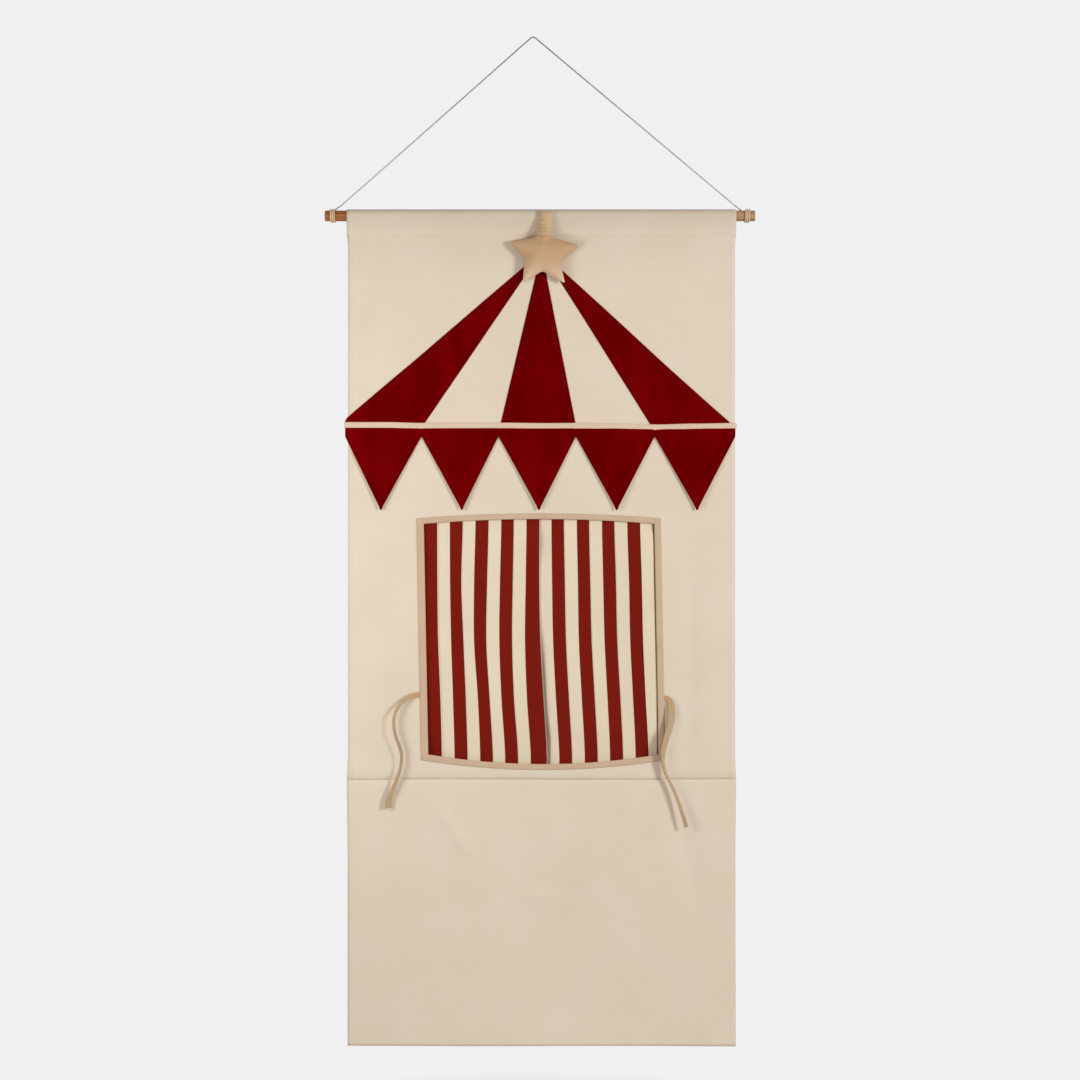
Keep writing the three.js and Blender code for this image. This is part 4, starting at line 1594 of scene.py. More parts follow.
@dataclass
class WindowTrim:
    """The binding folded round the window's raw edge, and the ribbons sewn into its sides."""

    banner: Banner
    window: Window
    finishes: Finishes
    stand: float = 0.0017
    tape: float = 0.0007
    pucker: float = 0.00022

    def build(self) -> None:
        """Makes the four sides of the binding."""
        for side in Side:
            self._binding(side)

    def _binding(self, side: Side) -> None:
        """One side: front leg, round the canvas's edge, and back leg.

        Args:
            side: The side.
        """
        leg, nose = self.window.binding(side) - self.stand, pi * self.stand / 2
        total = 2 * leg + 2 * nose
        length = self.window.width if side in (Side.TOP, Side.BOTTOM) else self.window.height
        columns = edged_steps(0, 1, 0.005 / length, 0.001 / length)
        rows = [*mm(0, 0.3, 0.8, 1.6), *steps(0.003, leg, 4), *steps(leg, leg + 2 * nose, 8)[1:]]
        rows += [total - row for row in reversed(rows[:8])]

        def profile(run: float) -> Span:
            """The tape's fold over the canvas's edge.

            Args:
                run: The length from the tape's front edge.

            Returns:
                How far in and how far back it is.
            """
            if run <= leg:
                return run, -self.stand + 0.0009 * exp(-run / 0.0007)
            if run >= total - leg:
                return total - run, self.stand - 0.0009 * exp(-(total - run) / 0.0007)
            angle = (run - leg) / self.stand
            return leg + self.stand * sin(angle), -self.stand * cos(angle)

        def place(share: float, run: float) -> Vector:
            """The point of the tape.

            Args:
                share: How far along the side.
                run: As in profile.

            Returns:
                The point.
            """
            inset, y = profile(run)
            x, z = self.window.edge(side, share, inset)
            near_end = min(share, 1 - share) * length
            pucker = self.pucker * rough(share * length * 160, 3.3, inset * 90)
            return self.banner.at(x, y + copysign(pucker * ramp(near_end, 0.0, 0.008), y), z)

        sheet = Sheet(columns, sorted(set(rows)), place, lambda share, run: (run, share * length))
        made = sheet.piece(f"binding_{side.value}", self.finishes.edge, self.tape, offset=1.0)
        if side in (Side.TOP, Side.RIGHT):
            made.data.flip_normals()  # so that the thickness grows towards the canvas here too
        attach(made, "banner", [f"window_binding_{side.value}"])

    def sew(self, thread: Topstitch) -> None:
        """Sews the binding down along its outer edge, through to the back.

        Args:
            thread: The thread to sew with.
        """
        for side in Side:
            for face in Face:
                path = []
                for share in steps(0.008, 0.992, 90):
                    x, z = self.window.edge(side, share, 0.0022)
                    path.append(self.banner.at(x, face.value * (self.stand + 0.00015), z))
                thread.sew(path, Vector((0, face.value, 0)))


@dataclass
class Ties:
    """The two ribbons that tie the curtains open, hanging free from the window's sides."""

    finishes: Finishes
    width: float = 0.009
    thickness: float = 0.0018
    face_round: float = 0.6
    edge_round: float = 0.22
    left_widths: tuple = (1.05, 0.9, 0.72, 0.68, 0.72, 0.8, 0.72, 0.7, 0.78, 1.0, 1.3)
    right_widths: tuple = (0.9, 1.35, 1.6, 1.68, 1.65, 1.15, 0.8, 0.7, 0.7, 0.72, 0.8)
    left_route: tuple = (
        mm(-210.65, -1.8, -1221.6), mm(-215.5, -2.4, -1221.8), mm(-222.5, -4.6, -1223),
        mm(-230.5, -7.6, -1226), mm(-239.5, -10.6, -1232.4), mm(-248.7, -13.2, -1242.6),
        mm(-255.4, -15, -1254.6), mm(-258.2, -16, -1268.5), mm(-257.6, -16.3, -1284), mm(-254.6, -16, -1299),
        mm(-248.6, -15.2, -1314.5), mm(-244.6, -14.2, -1329), mm(-244.2, -13.2, -1344.5),
        mm(-247.4, -12.2, -1362.5), mm(-253.2, -11.3, -1379), mm(-259.2, -10.4, -1394.5),
        mm(-265, -9.6, -1408.5), mm(-268.2, -9, -1420), mm(-267.8, -8.4, -1432),
    )
    right_route: tuple = (
        mm(243.3, -1.8, -1228), mm(247.6, -2.4, -1228), mm(251.6, -4, -1230.8), mm(254.8, -5.8, -1236.6),
        mm(256.6, -7.6, -1245), mm(257.2, -9, -1256), mm(256.4, -10, -1267.5), mm(253.6, -10.8, -1281),
        mm(249.6, -11.4, -1295), mm(245.4, -11.8, -1310), mm(241.6, -12, -1325), mm(240.2, -12.1, -1340),
        mm(242.2, -12.2, -1354.5), mm(247, -12.3, -1368.5), mm(253.6, -12.5, -1382),
        mm(260.2, -12.8, -1395.5), mm(266.4, -13.1, -1410), mm(272, -13.4, -1426), mm(277.4, -13.7, -1443),
        mm(282.4, -13.9, -1459.5), mm(284.6, -14, -1467.5),
    )

    def build(self) -> None:
        """Makes both ties."""
        self._tie("left_tie", self.left_route, 0.16, self.left_widths)
        self._tie("right_tie", self.right_route, -0.2, self.right_widths)

    def _tie(self, name: str, points: tuple, turns: float, widths: tuple) -> None:
        """One ribbon, rolled a little about its own line and gathered or spread on the way down.

        Args:
            name: The piece's name.
            points: The points that it passes.
            turns: How far the ribbon rolls.
            widths: Its widths on the way down, as shares.
        """
        route = Route(points, 0.0022, (0, -1, 0))

        def section(angle: float, travelled: float) -> Span:
            """The point of the flat section, rolled about the ribbon's line.

            Args:
                angle: The angle round the section.
                travelled: The distance along the ribbon.

            Returns:
                The point.
            """
            out = self.thickness / 2 * copysign(abs(cos(angle)) ** self.face_round, cos(angle))
            over = self.width / 2 * copysign(abs(sin(angle)) ** self.edge_round, sin(angle))
            share = travelled / route.length
            level = min(share * (len(widths) - 1), len(widths) - 1.001)
            over *= eased(widths, level)
            roll = FULL_TURN * turns * sin(share * pi)
            return out * cos(roll) - over * sin(roll), out * sin(roll) + over * cos(roll)

        girth = 2 * (self.width + self.thickness)
        made = route.sweep(f"{name}_ribbon", section, 28, girth, self.finishes.ribbon)
        attach(made, "banner", [name])


@dataclass
class Curtain:
    """One striped curtain: cloth in pieces between its fold lines, and a stitched heading.

    The drifts say how far each edge of a stripe, from the outermost one, hangs to the right of its straight
    place, at five heights from the window's head to its foot.
    """

    banner: Banner
    finishes: Finishes
    side: Side
    meet: float = 0.002
    stripe: float = 0.024
    stripes: int = 9
    front: float = 0.0036
    thickness: float = 0.0009
    fold_depth: float = 0.0034
    heading_drop: float = 0.546
    heading: float = 0.016
    length: float = 0.476
    bend: float = 0.011
    seen_drops: Span = (0.5732, 1.0067)
    lap: float = 0.014
    left_return: float = 0.01
    right_return: float = 0.032
    return_depth: float = 0.012
    bulge: float = 0.0044
    edge_width: float = 0.026
    slack: float = 0.004
    return_out: float = 0.012
    inner_stand: float = 0.0026
    foot_back: float = 0.0035
    lap_back: float = 0.006
    lap_sunk: float = 0.004
    wrinkle: float = 0.0004
    hem_drop: float = 0.018
    hem_ridge: float = 0.0003
    stitch_drop: float = 0.010
    left_drifts: tuple = (
        mm(-4.1, -3.8, -2.4, 1.9, 4.4), mm(-4.1, -3.8, -2.4, 1.9, 4.4), mm(-4.8, -4.3, -2.4, 1.1, 3.9),
        mm(-4.7, -7.3, -3.4, 1, 4.2), mm(-5, -7.6, -7.7, -0.6, 3.8), mm(-4.7, -7.3, -8.9, -2.6, 3.5),
        mm(-5, -7.5, -8.7, -4.7, 2.1), mm(-5.7, -7.5, -8.8, -5.2, 2.3), mm(-6, -7.5, -8.8, -5.1, 1.9),
        mm(-6.1, -6.4, -4.3, 1.6, 7.9),
    )
    right_drifts: tuple = (
        mm(-11.2, -8.5, -6.2, -3.7, -3.6), mm(-10.3, -7.1, -4.8, 0.1, 5.9), mm(-10.4, -7.1, -4.9, 0.4, 5.4),
        mm(-10.4, -7.3, -4.9, 0.9, 6), mm(-9.5, -7.2, -4.7, 0.8, 5.8), mm(-9.4, -7.1, -4.6, 1.2, 6.7),
        mm(-8.3, -6.3, -4.5, 0.9, 6.6), mm(-8.3, -6.5, -4.4, 1.1, 7), mm(-7.5, -6.4, -4.5, 0.8, 7.2),
        mm(-7.5, -6.4, -4.5, 0.8, 7.2),
    )

    @property
    def inward(self) -> int:
        """1 for the left curtain and -1 for the right one."""
        return 1 if self.side is Side.LEFT else -1

    @property
    def width(self) -> float:
        """The curtain's whole width."""
        return self.stripe * self.stripes

    @property
    def outer(self) -> float:
        """Where the outer edge hangs."""
        return self.meet - self.inward * self.width

    def _drift(self, reach: float, drop: float) -> float:
        """How far the cloth hangs to the right of its straight place.

        Args:
            reach: Distance from the curtain's outer edge.
            drop: Distance below its heading.

        Returns:
            The distance, by a smooth curve through the heights of the drifts.
        """
        drifts = self.left_drifts if self.side is Side.LEFT else self.right_drifts
        place = min(max(reach / self.stripe, 0.0), self.stripes - 1e-6)
        index = int(place)
        heights = [blend_between(*pair, place - index) for pair in zip(drifts[index], drifts[index + 1])]
        last = len(heights) - 1
        level = self._seen(drop) * last
        row = min(int(level), last - 1)
        before, start, end, beyond = (heights[min(max(row + step, 0), last)] for step in (-1, 0, 1, 2))
        share = level - row
        slopes = (end - before) * share + (2 * before - 5 * start + 4 * end - beyond) * share**2
        return start + (slopes + (3 * (start - end) + beyond - before) * share**3) / 2

    def _seen(self, drop: float) -> float:
        """The share of the window's height above a drop of the cloth."""
        top, low = self.seen_drops
        return min(1.0, max(0.0, (self.heading_drop + self.heading + drop - top) / (low - top)))

    def _edge_lift(self, reach: float, drop: float) -> float:
        """How far the right curtain's two edges stand back, or forward where it is below zero.

        Args:
            reach: Distance from the curtain's outer edge.
            drop: Distance below its heading.

        Returns:
            The distance.
        """
        seen, share = self._seen(drop), drop / self.length
        open_part = ramp(seen, 0.01, 0.07) * ramp(seen, 0.97, 0.88)
        outer = -self.bulge * open_part * ramp(reach, 2.8 * self.stripe, 0.15 * self.stripe)
        sunk = bump(share - 0.1, 0.06) + bump(share - 0.86, 0.06)
        behind = self.lap_back * ramp(share, 0.35, 0.6) * ramp(reach, self.width - 0.011, self.width - 0.002)
        return outer + behind + self.lap_sunk * sunk * ramp(reach, self.width - 0.05, self.width - 0.004)

    def _point(self, reach: float, drop: float) -> Vector:
        """A point of the cloth, at a reach from its outer edge and a drop below its heading.

        Args:
            reach: Distance from the curtain's outer edge.
            drop: Distance below its heading.

        Returns:
            The point.
        """
        share = drop / self.length
        free = ramp(share, 0.0, 0.22)
        home = self.front + self.thickness / 2
        fold = rough(reach * 15 * self.inward, share * 1.1, 5.0 + self.inward)
        y = home + self.fold_depth * (0.25 + 0.75 * free) * (0.5 + 0.75 * fold)
        edge_home = home if self.side is Side.LEFT else home + self.inner_stand
        inner = ramp(reach, self.width - 1.1 * self.stripe, self.width - 0.3 * self.stripe)
        y = blend_between(y, edge_home, inner) + self.foot_back * ramp(self._seen(drop), 0.86, 1.0)
        y += self.wrinkle * free * rough(reach * 38, share * 5.0, 9.0)
        y = max(y, home - 0.0002)
        x = self.outer + self.inward * max(0.0, reach) + self._drift(reach, drop)
        beyond = max(0.0, -reach)
        if self.side is Side.LEFT:
            x -= beyond
        else:
            out = max(0.0, beyond - self.return_depth) / (self.right_return - self.return_depth)
            y += self._edge_lift(reach, drop) + min(beyond, self.return_depth)
            y = blend_between(y, home + 0.0004, out)
            x += self.return_out * out
        return self.banner.bare(x, y, -self.heading_drop - self.heading - drop)

    def _cloth_at(self, column: float, row: float) -> Span:
        """The place on the striped cloth, whose edge stripes carry on over both of its edges."""
        return min(max(column * self.inward, 0.0015), self.width - 0.0015), row

    def build(self) -> None:
        """Makes the heading and the cloth: its outer edge, and one piece for each fold line."""
        name = self.side.value
        material = self.finishes.left_stripes if self.side is Side.LEFT else self.finishes.right_stripes
        self._heading(name, material)
        fold = 2 * self.stripe
        first = -self.left_return if self.side is Side.LEFT else -self.right_return
        last = self.width if self.side is Side.LEFT else self.width + self.lap
        cuts = [first, self.edge_width, 1.5 * fold, 2.5 * fold, 3.5 * fold, last]
        for number, (start, end) in enumerate(zip(cuts, cuts[1:])):
            cloth = self._cloth(f"{name}_curtain_cloth_{number}", start, end, material)
            flat = (end - start, self.length)
            hinge = self.outer + self.inward * fold * number
            bodies = (f"{name}_curtain_{number}", f"{name}_curtain_{number + 1}")
            before, after = hinge - self.inward * self.bend, hinge + self.inward * self.bend
            if number == 0:
                bodies = (f"{name}_curtain_heading", f"{name}_curtain_1")
                before = hinge + self.inward * self.slack
                after = before + self.inward * self.bend
            start, end = (self.banner.bare(x, 0, -0.8) for x in (before, after))
            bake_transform(cloth)
            if number > 0:
                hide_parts(*self._nodes(number))
            LOG.info("%s bends between %s and %s", cloth.name, *bodies)

    def _cloth(self, name: str, start: float, end: float, material: Finish) -> Piece:
        """One piece of the curtain's cloth, between two reaches from its outer edge.

        Args:
            name: The piece's name.
            start: The reach where it starts.
            end: The reach where it ends.
            material: The finish.

        Returns:
            The object.
        """
        reaches = steps(start, end, round((end - start) / 0.003))
        if start < 0 and self.side is Side.RIGHT:
            bend = mm(-2, -1, -0.4, 0, 0.4, 1, 2)
            reaches = sorted({*(reach for reach in reaches if abs(reach) > 0.0022), *bend})
        drops = [*steps(self.length, self.length - 0.02, 5), *steps(self.length - 0.02, 0, 76)[1:]]
        hem = self.length - self.hem_drop

        def place(column: float, row: float) -> Vector:
            """The point of the cloth, with the ridge of its hem."""
            ridge = Vector((0, self.hem_ridge * bump(-row - hem, 0.0012), 0))
            return self._point(column * self.inward, -row) + ridge

        columns = reaches if self.inward > 0 else [-reach for reach in reversed(reaches)]
        sheet = Sheet(columns, [-drop for drop in drops], place, self._cloth_at)
        return sheet.piece(name, material, self.thickness)

    def _nodes(self, number: int) -> list[str]:
        """The stripes that a piece of cloth stands for.

        Args:
            number: The piece's number, from the outer edge.

        Returns:
            The solids' names.
        """
        first, second = ("red", "cream") if self.side is Side.LEFT else ("cream", "red")
        name = self.side.value
        nodes = [f"{name}_curtain_{number}_{first}", f"{name}_curtain_{number}_{second}"]
        return nodes + [f"{name}_curtain_5_{first}"] if number == 4 else nodes

    def _heading(self, name: str, material: Finish) -> None:
        """The curtain's top, folded over and stitched.

        Args:
            name: The curtain's side, by name.
            material: The finish.
        """
        inner = 0.0003 if self.side is Side.LEFT else 0.0028
        reaches = edged_steps(0.0003, self.width - inner, 0.003, 0.0016)
        columns = reaches if self.inward > 0 else [-reach for reach in reversed(reaches)]
        rows = edged_steps(-self.heading + 0.0002, 0.0, 0.002, 0.0012)
        middle = self.front + 0.0012

        def place(column: float, row: float) -> Vector:
            """The point of the heading, with its ridge and its gathers.

            Args:
                column: The column.
                row: The row.

            Returns:
                The point.
            """
            reach = abs(column)
            ridge = -0.0006 * bump(row + 0.004, 0.0025)
            dimple = 0.0005 * bump(row + self.stitch_drop, 0.0010)
            pucker = 0.0003 * sin(reach * 900) * bump(row + self.stitch_drop, 0.004)
            x = self.outer + self.inward * reach + self._drift(reach, 0.0)
            return self.banner.bare(x, middle + ridge + dimple + pucker, -self.heading_drop + row)

        sheet = Sheet(columns, rows, place, lambda column, row: (abs(column), row))
        made = sheet.piece(f"{name}_heading_cloth", material, 0.0018)
        attach(made, f"{name}_curtain_heading", [f"{name}_curtain_heading"])
        thread = Topstitch(f"{name}_heading_stitches")
        row = -self.heading_drop - self.stitch_drop
        reaches = (0.0, self.width - inner)
        ends = [self.outer + self.inward * reach + self._drift(reach, 0.0) for reach in reaches]
        for face, y in ((Face.FRONT, middle - 0.0007), (Face.BACK, middle + 0.0013)):
            path = [self.banner.bare(x, y, row) for x in steps(min(ends) + 0.002, max(ends) - 0.002, 60)]
            thread.sew(path, Vector((0, face.value, 0)))
        thread.finish(self.finishes.thread, f"{name}_curtain_heading", Slot.CREAM)


@dataclass
class HeaderTape:
    """The tape on the canvas's back that carries both curtains."""

    banner: Banner
    finishes: Finishes
    middle: float = 0.002
    half: float = 0.222
    bottom: float = -0.5457
    height: float = 0.013
    back: float = 0.0058

    def build(self) -> None:
        """Makes the tape, turned under all round."""
        columns = edged_steps(self.middle - self.half, self.middle + self.half, 0.005, 0.003)
        rows = edged_steps(self.bottom, self.bottom + self.height, 0.0015, 0.0025)

        def place(x: float, z: float) -> Vector:
            """The point of the tape, whose edges are turned under.

            Args:
                x: The column.
                z: The row.

            Returns:
                The point.
            """
            inside = min(self.half - abs(x - self.middle), z - self.bottom, self.bottom + self.height - z)
            flat = self.back - 0.0006
            return self.banner.at(x, blend_between(flat, 0.0016, exp(-max(0.0, inside) / 0.0009)), z)

        made = Sheet(columns, rows, place).piece("header_tape_cloth", self.finishes.edge, 0.0009)
        attach(made, "banner", ["curtain_header_tape"])

    def sew(self, thread: Topstitch) -> None:
        """Sews the tape along both of its edges.

        Args:
            thread: The thread to sew with.
        """
        for z in (self.bottom + 0.0028, self.bottom + self.height - 0.0028):
            start, end = self.middle - self.half + 0.004, self.middle + self.half - 0.004
            thread.sew(self.banner.line((start, z), (end, z), self.back - 0.0002), Vector((0, 1, 0)))


@dataclass
class Star:
    """The stuffed star at the roof's apex: a linen cover blown up by its filling, creased on the top arm."""

    banner: Banner
    finishes: Finishes
    drop: float = 0.0681
    radius: float = 0.071
    top_end: float = 0.0235
    corner_round: float = 0.0042
    front_crown: float = 0.0145
    back_crown: float = 0.0065
    seam: float = 0.001
    arm_degrees: tuple[float, ...] = (82.8, 162, 239, 306.5, 370)
    arm_shares: tuple[float, ...] = (1.10, 0.91, 1.0, 1.07, 1.035)
    notch_degrees: tuple[float, ...] = (114, 200, 273, 331, 415)
    notch_shares: tuple[float, ...] = (0.44, 0.49, 0.53, 0.59, 0.49)
    arm_creases: tuple = (mm(30, 4.6, 19), mm(38, 4.4, 12), mm(43.5, 4.6, 11), mm(50, 3.4, 9), mm(60, 2.4, 8))
    thinning: float = 0.3
    lean_start: float = 0.020
    lean: float = 0.004
    middle_y: float = -0.011
    voxel: float = 0.0026
    swell_cap: float = 0.0035
    swell_reach: float = 0.008
    slab: float = 0.006
    pressure: float = 3.0
    frames: int = 16
    crease_slope: float = 0.07
    crease_spread: float = 0.0014
    seam_pinch: float = 0.02
    canvas_gap: float = 0.0013
    velvet_gap: float = 0.0034

    def build(self) -> None:
        """Makes the star."""
        piece = self._slab()
        self._shape(piece)
        self._inflate(piece)
        self._crease(piece)
        self._map(piece)
        attach(piece, "banner", ["star"])

    @property
    def _middle(self) -> Vector:
        """The star's middle, on the banner's plane."""
        return self.banner.bare(0, 0, -self.drop)

    def _corners(self) -> list[Vector]:
        """The star's tips and notches, in turn, from its middle. The top arm is blunt.

        Returns:
            The corners.
        """
        corners = []
        for arm, degrees in enumerate(self.arm_degrees):
            tip, notch = radians(degrees), radians(self.notch_degrees[arm])
            ahead = Vector((cos(tip), sin(tip)))
            end = ahead * self.radius * self.arm_shares[arm]
            sides = (-self.top_end / 2, self.top_end / 2) if arm == 0 else (0.0,)
            corners += [end + ahead.orthogonal() * side for side in sides]
            corners.append(Vector((cos(notch), sin(notch))) * self.radius * self.notch_shares[arm])
        return corners

    def _slab(self) -> Piece:
        """A flat star with rounded corners, covered with even faces.

        Returns:
            The object.
        """
        draft = bmesh.new()
        verts = [draft.verts.new((corner.x, 0.0, corner.y)) for corner in self._corners()]
        face = bmesh.ops.contextual_create(draft, geom=verts)["faces"][0]
        bmesh.ops.bevel(draft, geom=list(face.verts), offset=self.corner_round, segments=4, profile=0.5,
                        affect="VERTICES", material=-1)
        bmesh.ops.translate(draft, verts=draft.verts, vec=(0, -self.slab, 0))
        grown = bmesh.ops.extrude_face_region(draft, geom=list(draft.faces))
        moved = [item for item in grown["geom"] if isinstance(item, bmesh.types.BMVert)]
        bmesh.ops.translate(draft, verts=moved, vec=(0, 2 * self.slab, 0))
        bmesh.ops.recalc_face_normals(draft, faces=draft.faces)
        piece = new_piece("stuffed_star", draft, self.finishes.star)
        remesh = piece.modifiers.new("even", "REMESH")
        remesh.mode, remesh.voxel_size = "VOXEL", self.voxel
        self._apply(piece)
        return piece

    @staticmethod
    def _apply(piece: Piece) -> None:
        """Turns the piece's modifiers into its mesh.

        Args:
            piece: The piece.
        """
        graph = bpy.context.evaluated_depsgraph_get()
        shaped = bpy.data.meshes.new_from_object(piece.evaluated_get(graph))
        piece.modifiers.clear()
        piece.data = shaped
        for polygon in shaped.polygons:
            polygon.use_smooth = True

    def _inside(self, flat: Vector) -> float:
        """How far a place on the star is from its outline.

        Args:
            flat: The place on the star.

        Returns:
            The distance.
        """
        corners = self._corners()
        nearest = self.radius
        for start, end in zip(corners, corners[1:] + corners[:1]):
            edge = end - start
            share = min(1.0, max(0.0, (flat - start).dot(edge) / edge.length_squared))
            nearest = min(nearest, (flat - start - edge * share).length)
        return nearest

    def _plane(self, height: float) -> float:
        """Where the star's seam lies at a height from its middle: the top arm leans off the sleeve."""
        share = (height - self.lean_start) / (self.radius - self.lean_start)
        return self.middle_y - self.lean * max(0.0, share)

    def _shape(self, piece: Piece) -> None:
        """Rounds the slab into a cushion and hangs it in its place.

        Args:
            piece: The piece.
        """
        for vertex in piece.data.vertices:
            flat = Vector((vertex.co.x, vertex.co.z))
            swell = sqrt(1 - exp(-self._inside(flat) / self.swell_reach))
            swell *= 1 - self.thinning * flat.length / self.radius
            crown = self.front_crown if vertex.co.y < 0 else self.back_crown
            depth = vertex.co.y / self.slab * (self.seam + crown * swell)
            vertex.co.y = self._plane(flat.y) + depth
        piece.data.transform(Matrix.Translation(self._middle))

    def _inflate(self, piece: Piece) -> None:
        """Blows the cover up as cloth, so that it pulls into small folds at the notches.

        Args:
            piece: The piece.
        """
        rest = [vertex.co.copy() for vertex in piece.data.vertices]
        cloth = piece.modifiers.new("filling", "CLOTH")
        cloth.settings.use_pressure = True
        cloth.settings.uniform_pressure_force = self.pressure
        cloth.settings.effector_weights.gravity = 0
        cloth.settings.quality = 6
        scene = bpy.context.scene
        for frame in range(1, self.frames + 1):
            scene.frame_set(frame)
        self._apply(piece)
        scene.frame_set(1)
        for vertex, start in zip(piece.data.vertices, rest):
            move = vertex.co - start
            if move.length > self.swell_cap:
                vertex.co = start + move.normalized() * self.swell_cap

    def _crease(self, piece: Piece) -> None:
        """Refines the cover, pinches its seam and sets the creases of the top arm.

        Args:
            piece: The piece.
        """
        ease = piece.modifiers.new("ease", "SMOOTH")
        ease.factor, ease.iterations = 0.5, 6
        finer = piece.modifiers.new("finer", "SUBSURF")
        finer.levels = finer.render_levels = 1
        self._apply(piece)
        middle = self._middle
        for vertex in piece.data.vertices:
            x, height = vertex.co.x - middle.x, vertex.co.z - middle.z
            plane = self._plane(height)
            front = ramp(plane - vertex.co.y, 0.001, 0.006)
            arm = ramp(height, 0.022, 0.029) * front
            slack = rough(x * 60, height * 25, 3.0) * 0.0022
            for level, depth, reach in self.arm_creases:
                off = (height - level + self.crease_slope * x + slack) / self.crease_spread
                near = exp(-(off**2) - (x / reach) ** 4)
                vertex.co.y += depth * arm * near
            pull = 1 - self.seam_pinch * bump(vertex.co.y - plane, 0.0012)
            vertex.co.x, vertex.co.z = middle.x + x * pull, middle.z + height * pull
            vertex.co.y += 0.0005 * front * rough(x * 55, 0.0, height * 55)
            below = height - self.drop
            velvet = self.velvet_gap * ramp(below, -0.078, -0.088)
            vertex.co.y = min(vertex.co.y, self.banner.relief(x, below) - self.canvas_gap - velvet)

    def _map(self, piece: Piece) -> None:
        """Lays the cloth's threads on the cover, front and back alike.

        Args:
            piece: The piece.
        """
        layer = piece.data.uv_layers.new(name=CLOTH_MAP)
        middle = self._middle
        for loop in piece.data.loops:
            at = piece.data.vertices[loop.vertex_index].co - middle
            layer.data[loop.index].uv = (at.x, at.z)


@dataclass
class Hanger:
    """The dowel and the cord that it hangs on, wound three times round each of its ends."""

    finishes: Finishes
    dowel_radius: float = 0.010
    end_round: float = 0.0014
    diameter: float = 0.0028
    groove_share: float = 0.2
    twist_pitch: float = 0.0085
    winding_radius: float = 0.0117
    winding_pitch: float = 0.00335
    winding_turns: int = 3
    pitch: float = 0.0009
    sides: int = 15
    route: tuple = (
        mm(-367.65, 11.7, -327.9), mm(-368.9, 11.7, -326.4), mm(-370, 11.68, -324.7),
        mm(-370, 11.65, -322.6), mm(-355.8, 11.14, -309.39), mm(-304.7, 9.55, -264.67),
        mm(-243.6, 7.64, -211), mm(-182.6, 5.73, -157.34), mm(-121.7, 3.82, -103.68),
        mm(-60.8, 1.91, -50.01), mm(-20.2, 0.64, -14.24), mm(-8, 0.25, -3.5), mm(-4.53, 0.1, -0.42),
        mm(-2.36, 0, 0.94), mm(0.15, 0, 1.4), mm(2.54, 0, 0.98), mm(4.65, 0.1, -0.24), mm(8, 0.24, -3.03),
        mm(20, 0.6, -13.05), mm(60, 1.79, -46.46), mm(120, 3.58, -96.56), mm(180, 5.37, -146.67),
        mm(250, 7.46, -205.13), mm(320, 9.55, -263.58), mm(375, 11.19, -309.51), mm(391.51, 11.65, -323.3),
        mm(392.62, 11.68, -324.54), mm(393.39, 11.7, -326.1), mm(393.65, 11.7, -327.9),
    )

    def _strands(self, angle: float, travelled: float) -> Span:
        """The section of three strands laid together.

        Args:
            angle: The angle round the section.
            travelled: The distance along the curve.

        Returns:
            The section's point.
        """
        lobes = abs(cos(1.5 * (angle - FULL_TURN * travelled / self.twist_pitch)))
        radius = self.diameter / 2 * (1 - self.groove_share * (1 - lobes) ** 1.4)
        return radius * cos(angle), radius * sin(angle)

    def build_cord(self) -> None:
        """Makes the windings and the cord between them, over the nail."""
        windings = [self._winding(side) for side in (Side.LEFT, Side.RIGHT)]
        route = Route(self.route, self.pitch, (0, 1, 0))
        girth = pi * self.diameter
        made = route.sweep("cord_over_nail", self._strands, self.sides, girth, self.finishes.cord)
        attach(made, "cord", ["hanging_cord"])

    def _winding(self, side: Side) -> Piece:
        """Three turns round the dowel that leave it upwards at the back.

        Args:
            side: The side.

        Returns:
            The object.
        """
        end = Vector(self.route[0] if side is Side.LEFT else self.route[-1])
        outward = -1 if side is Side.LEFT else 1
        axis_z = sum(corner.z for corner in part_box("dowel")) / 2
        count = 40 * self.winding_turns
        points = []
        for index in range(count + 1):
            turn = index / count * self.winding_turns - self.winding_turns
            angle = turn * FULL_TURN
            x = end.x - outward * self.winding_pitch * turn
            y, z = self.winding_radius * cos(angle), self.winding_radius * sin(angle)
            points.append((x, y, axis_z + z))
        points.append((end.x, end.y, blend_between(axis_z, end.z, 0.5)))
        points.append(tuple(end))
        route = Route(points, self.pitch, (-outward, 0, 0))
        name, girth = f"{side.value}_winding", pi * self.diameter
        made = route.sweep(name, self._strands, self.sides, girth, self.finishes.winding)
        return attach(made, "cord", [f"{side.value}_cord_winding"])

    def build_dowel(self) -> None:
        """Turns the dowel, with its ends sanded round."""
        low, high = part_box("dowel")
        middle = (low + high) / 2
        draft = bmesh.new()
        lie = Matrix.Translation(middle) @ Matrix.Rotation(pi / 2, 4, "Y")
        bmesh.ops.create_cone(draft, cap_ends=True, segments=96, radius1=self.dowel_radius,
                              radius2=self.dowel_radius, depth=high.x - low.x, matrix=lie)
        rims = [edge for edge in draft.edges if abs(edge.verts[0].co.x - edge.verts[1].co.x) < 1e-6]
        bmesh.ops.bevel(draft, geom=rims, offset=self.end_round, segments=5, profile=0.5,
                        affect="EDGES", material=-1)
        bmesh.ops.recalc_face_normals(draft, faces=draft.faces)
        attach(new_piece("wooden_dowel", draft, self.finishes.wood), "dowel", ["dowel"])


# The studio


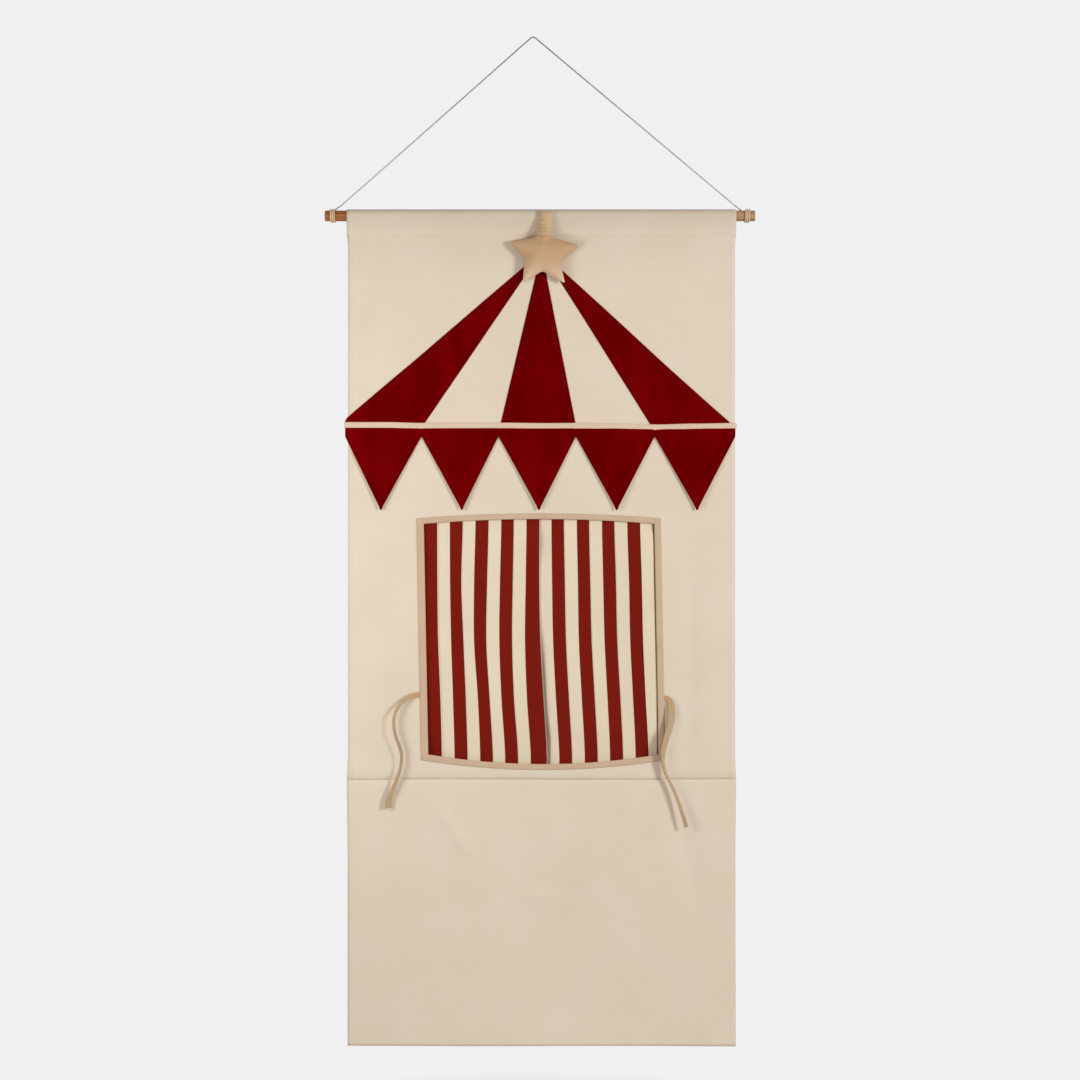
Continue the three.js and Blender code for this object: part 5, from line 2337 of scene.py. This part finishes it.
@dataclass
class Studio:
    """The camera in front of the banner, soft lamps around it, the pale ground and the background."""

    look_x: float = 0.013
    look_z: float = -0.934
    frame_width: float = 2.0093
    lens: float = 100.0
    sensor: float = 36.0
    background: Colour = (240, 240, 240)
    floor_z: float = -2.0
    floor_radius: float = 0.78
    floor_middle: Span = (0.013, -0.30)
    lamps: tuple = ((9.4, 0.7, (-1.15, -0.96, -0.93)), (65.0, 0.7, (2.6, -2.18, -0.42)),
                    (26.0, 1.6, (0.6, 2.9, -0.3)))
    aim_z: float = -0.8
    fill: float = 0.395
    fill_colour: tuple = (1.0, 0.985, 0.965, 1.0)

    def set_camera(self) -> None:
        """Stands the camera level, straight in front of the banner."""
        data = bpy.data.cameras.new("front_camera")
        data.lens, data.sensor_width, data.sensor_fit = self.lens, self.sensor, "HORIZONTAL"
        data.clip_end = 100.0
        camera = bpy.data.objects.new("front_camera", data)
        bpy.context.scene.collection.objects.link(camera)
        away = self.frame_width * self.lens / self.sensor
        camera.location = (self.look_x, -away, self.look_z)
        camera.rotation_euler = (pi / 2, 0, 0)
        bpy.context.scene.camera = camera

    def light(self) -> None:
        """Hangs the lamps, two in front and one behind, and sets the world's fill."""
        aim = Vector((self.look_x, 0, self.aim_z))
        for number, (power, size, place) in enumerate(self.lamps, start=1):
            data = bpy.data.lights.new(f"lamp_{number}", "AREA")
            data.energy, data.shape, data.size = power, "DISK", size
            lamp = bpy.data.objects.new(f"lamp_{number}", data)
            lamp.location = place
            lamp.rotation_euler = (aim - Vector(place)).to_track_quat("-Z", "Y").to_euler()
            bpy.context.scene.collection.objects.link(lamp)
        self._world()
        bpy.context.scene.view_settings.view_transform = "Standard"

    def _world(self) -> None:
        """A plain grey world: fill light for the object, and the background's own value for the camera."""
        world = bpy.data.worlds.new("studio_world")
        world.use_nodes = True
        tree = NodeTree(world.node_tree)
        path = tree.node("ShaderNodeLightPath")
        rays = (Value(tree, path.outputs[f"Is {kind} Ray"]) for kind in ("Camera", "Transmission"))
        seen = tree.value("ShaderNodeMath", {"operation": "MAXIMUM"}, dict(enumerate(rays)))
        lit = tree.value("ShaderNodeBackground", None, {"Color": self.fill_colour, "Strength": self.fill})
        shown = tree.value("ShaderNodeBackground", None, {"Color": linear(self.background)})
        mixed = tree.value("ShaderNodeMixShader", None, {0: seen, 1: lit, 2: shown})
        tree.node("ShaderNodeOutputWorld", None, {0: mixed})
        bpy.context.scene.world = world

    def lay_floor(self) -> None:
        """Lays a pale round floor under the banner, which fades out at its rim."""
        draft = bmesh.new()
        lie = Matrix.Translation((*self.floor_middle, self.floor_z))
        bmesh.ops.create_circle(draft, cap_ends=True, segments=96, radius=self.floor_radius, matrix=lie)
        shader = Shader("pale_floor")
        centred = (-self.floor_middle[0], -self.floor_middle[1], -self.floor_z)
        sockets = {0: shader.object_place(), 1: centred}
        place = shader.value("ShaderNodeVectorMath", {"operation": "ADD"}, sockets)
        away = shader.value("ShaderNodeVectorMath", {"operation": "LENGTH"}, {0: place}, "Value")
        grain = shader.noise(place, 400.0)
        colour = shader.shade(shader.mix(1.0, (232, 232, 232), (232, 232, 232)), 0.985 + grain * 0.03)
        floor = shader.value("ShaderNodeBsdfPrincipled", None, {"Base Color": colour, "Roughness": 0.9})
        clear = shader.value("ShaderNodeBsdfTransparent")
        fade = away.step(self.floor_radius * 0.35, self.floor_radius * 0.98)
        mixed = shader.value("ShaderNodeMixShader", None, {0: fade, 1: floor, 2: clear})
        shader.node("ShaderNodeOutputMaterial", None, {0: mixed})
        new_piece("floor", draft, shader.material)


def main() -> None:
    """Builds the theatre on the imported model, piece by piece."""
    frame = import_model()
    studio = Studio()
    studio.set_camera()
    finishes = Finishes()
    hanger = Hanger(finishes)
    hanger.build_cord()
    Ties(finishes).build()
    hanger.build_dowel()

    dowel_low, dowel_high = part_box("dowel")
    panel_low, panel_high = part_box("lower_panel")
    banner = Banner(middle_x=(panel_low.x + panel_high.x) / 2, axis_z=(dowel_low.z + dowel_high.z) / 2)
    window = Window()
    canvas = Canvas(banner, window, finishes)
    trim = WindowTrim(banner, window, finishes)
    header = HeaderTape(banner, finishes)
    canvas.build()
    Roof(banner, finishes).build()
    trim.build()
    header.build()
    for side in (Side.LEFT, Side.RIGHT):
        Curtain(banner, finishes, side).build()
    Star(banner, finishes).build()

    thread = Topstitch("banner_stitches")
    for sewn in (canvas, trim, header):
        sewn.sew(thread)
    thread.finish(finishes.thread, "banner", Slot.CANVAS)

    studio.lay_floor()
    studio.light()


if __name__ == "__main__":
    logging.basicConfig(level=logging.INFO, format="%(message)s")
    main()
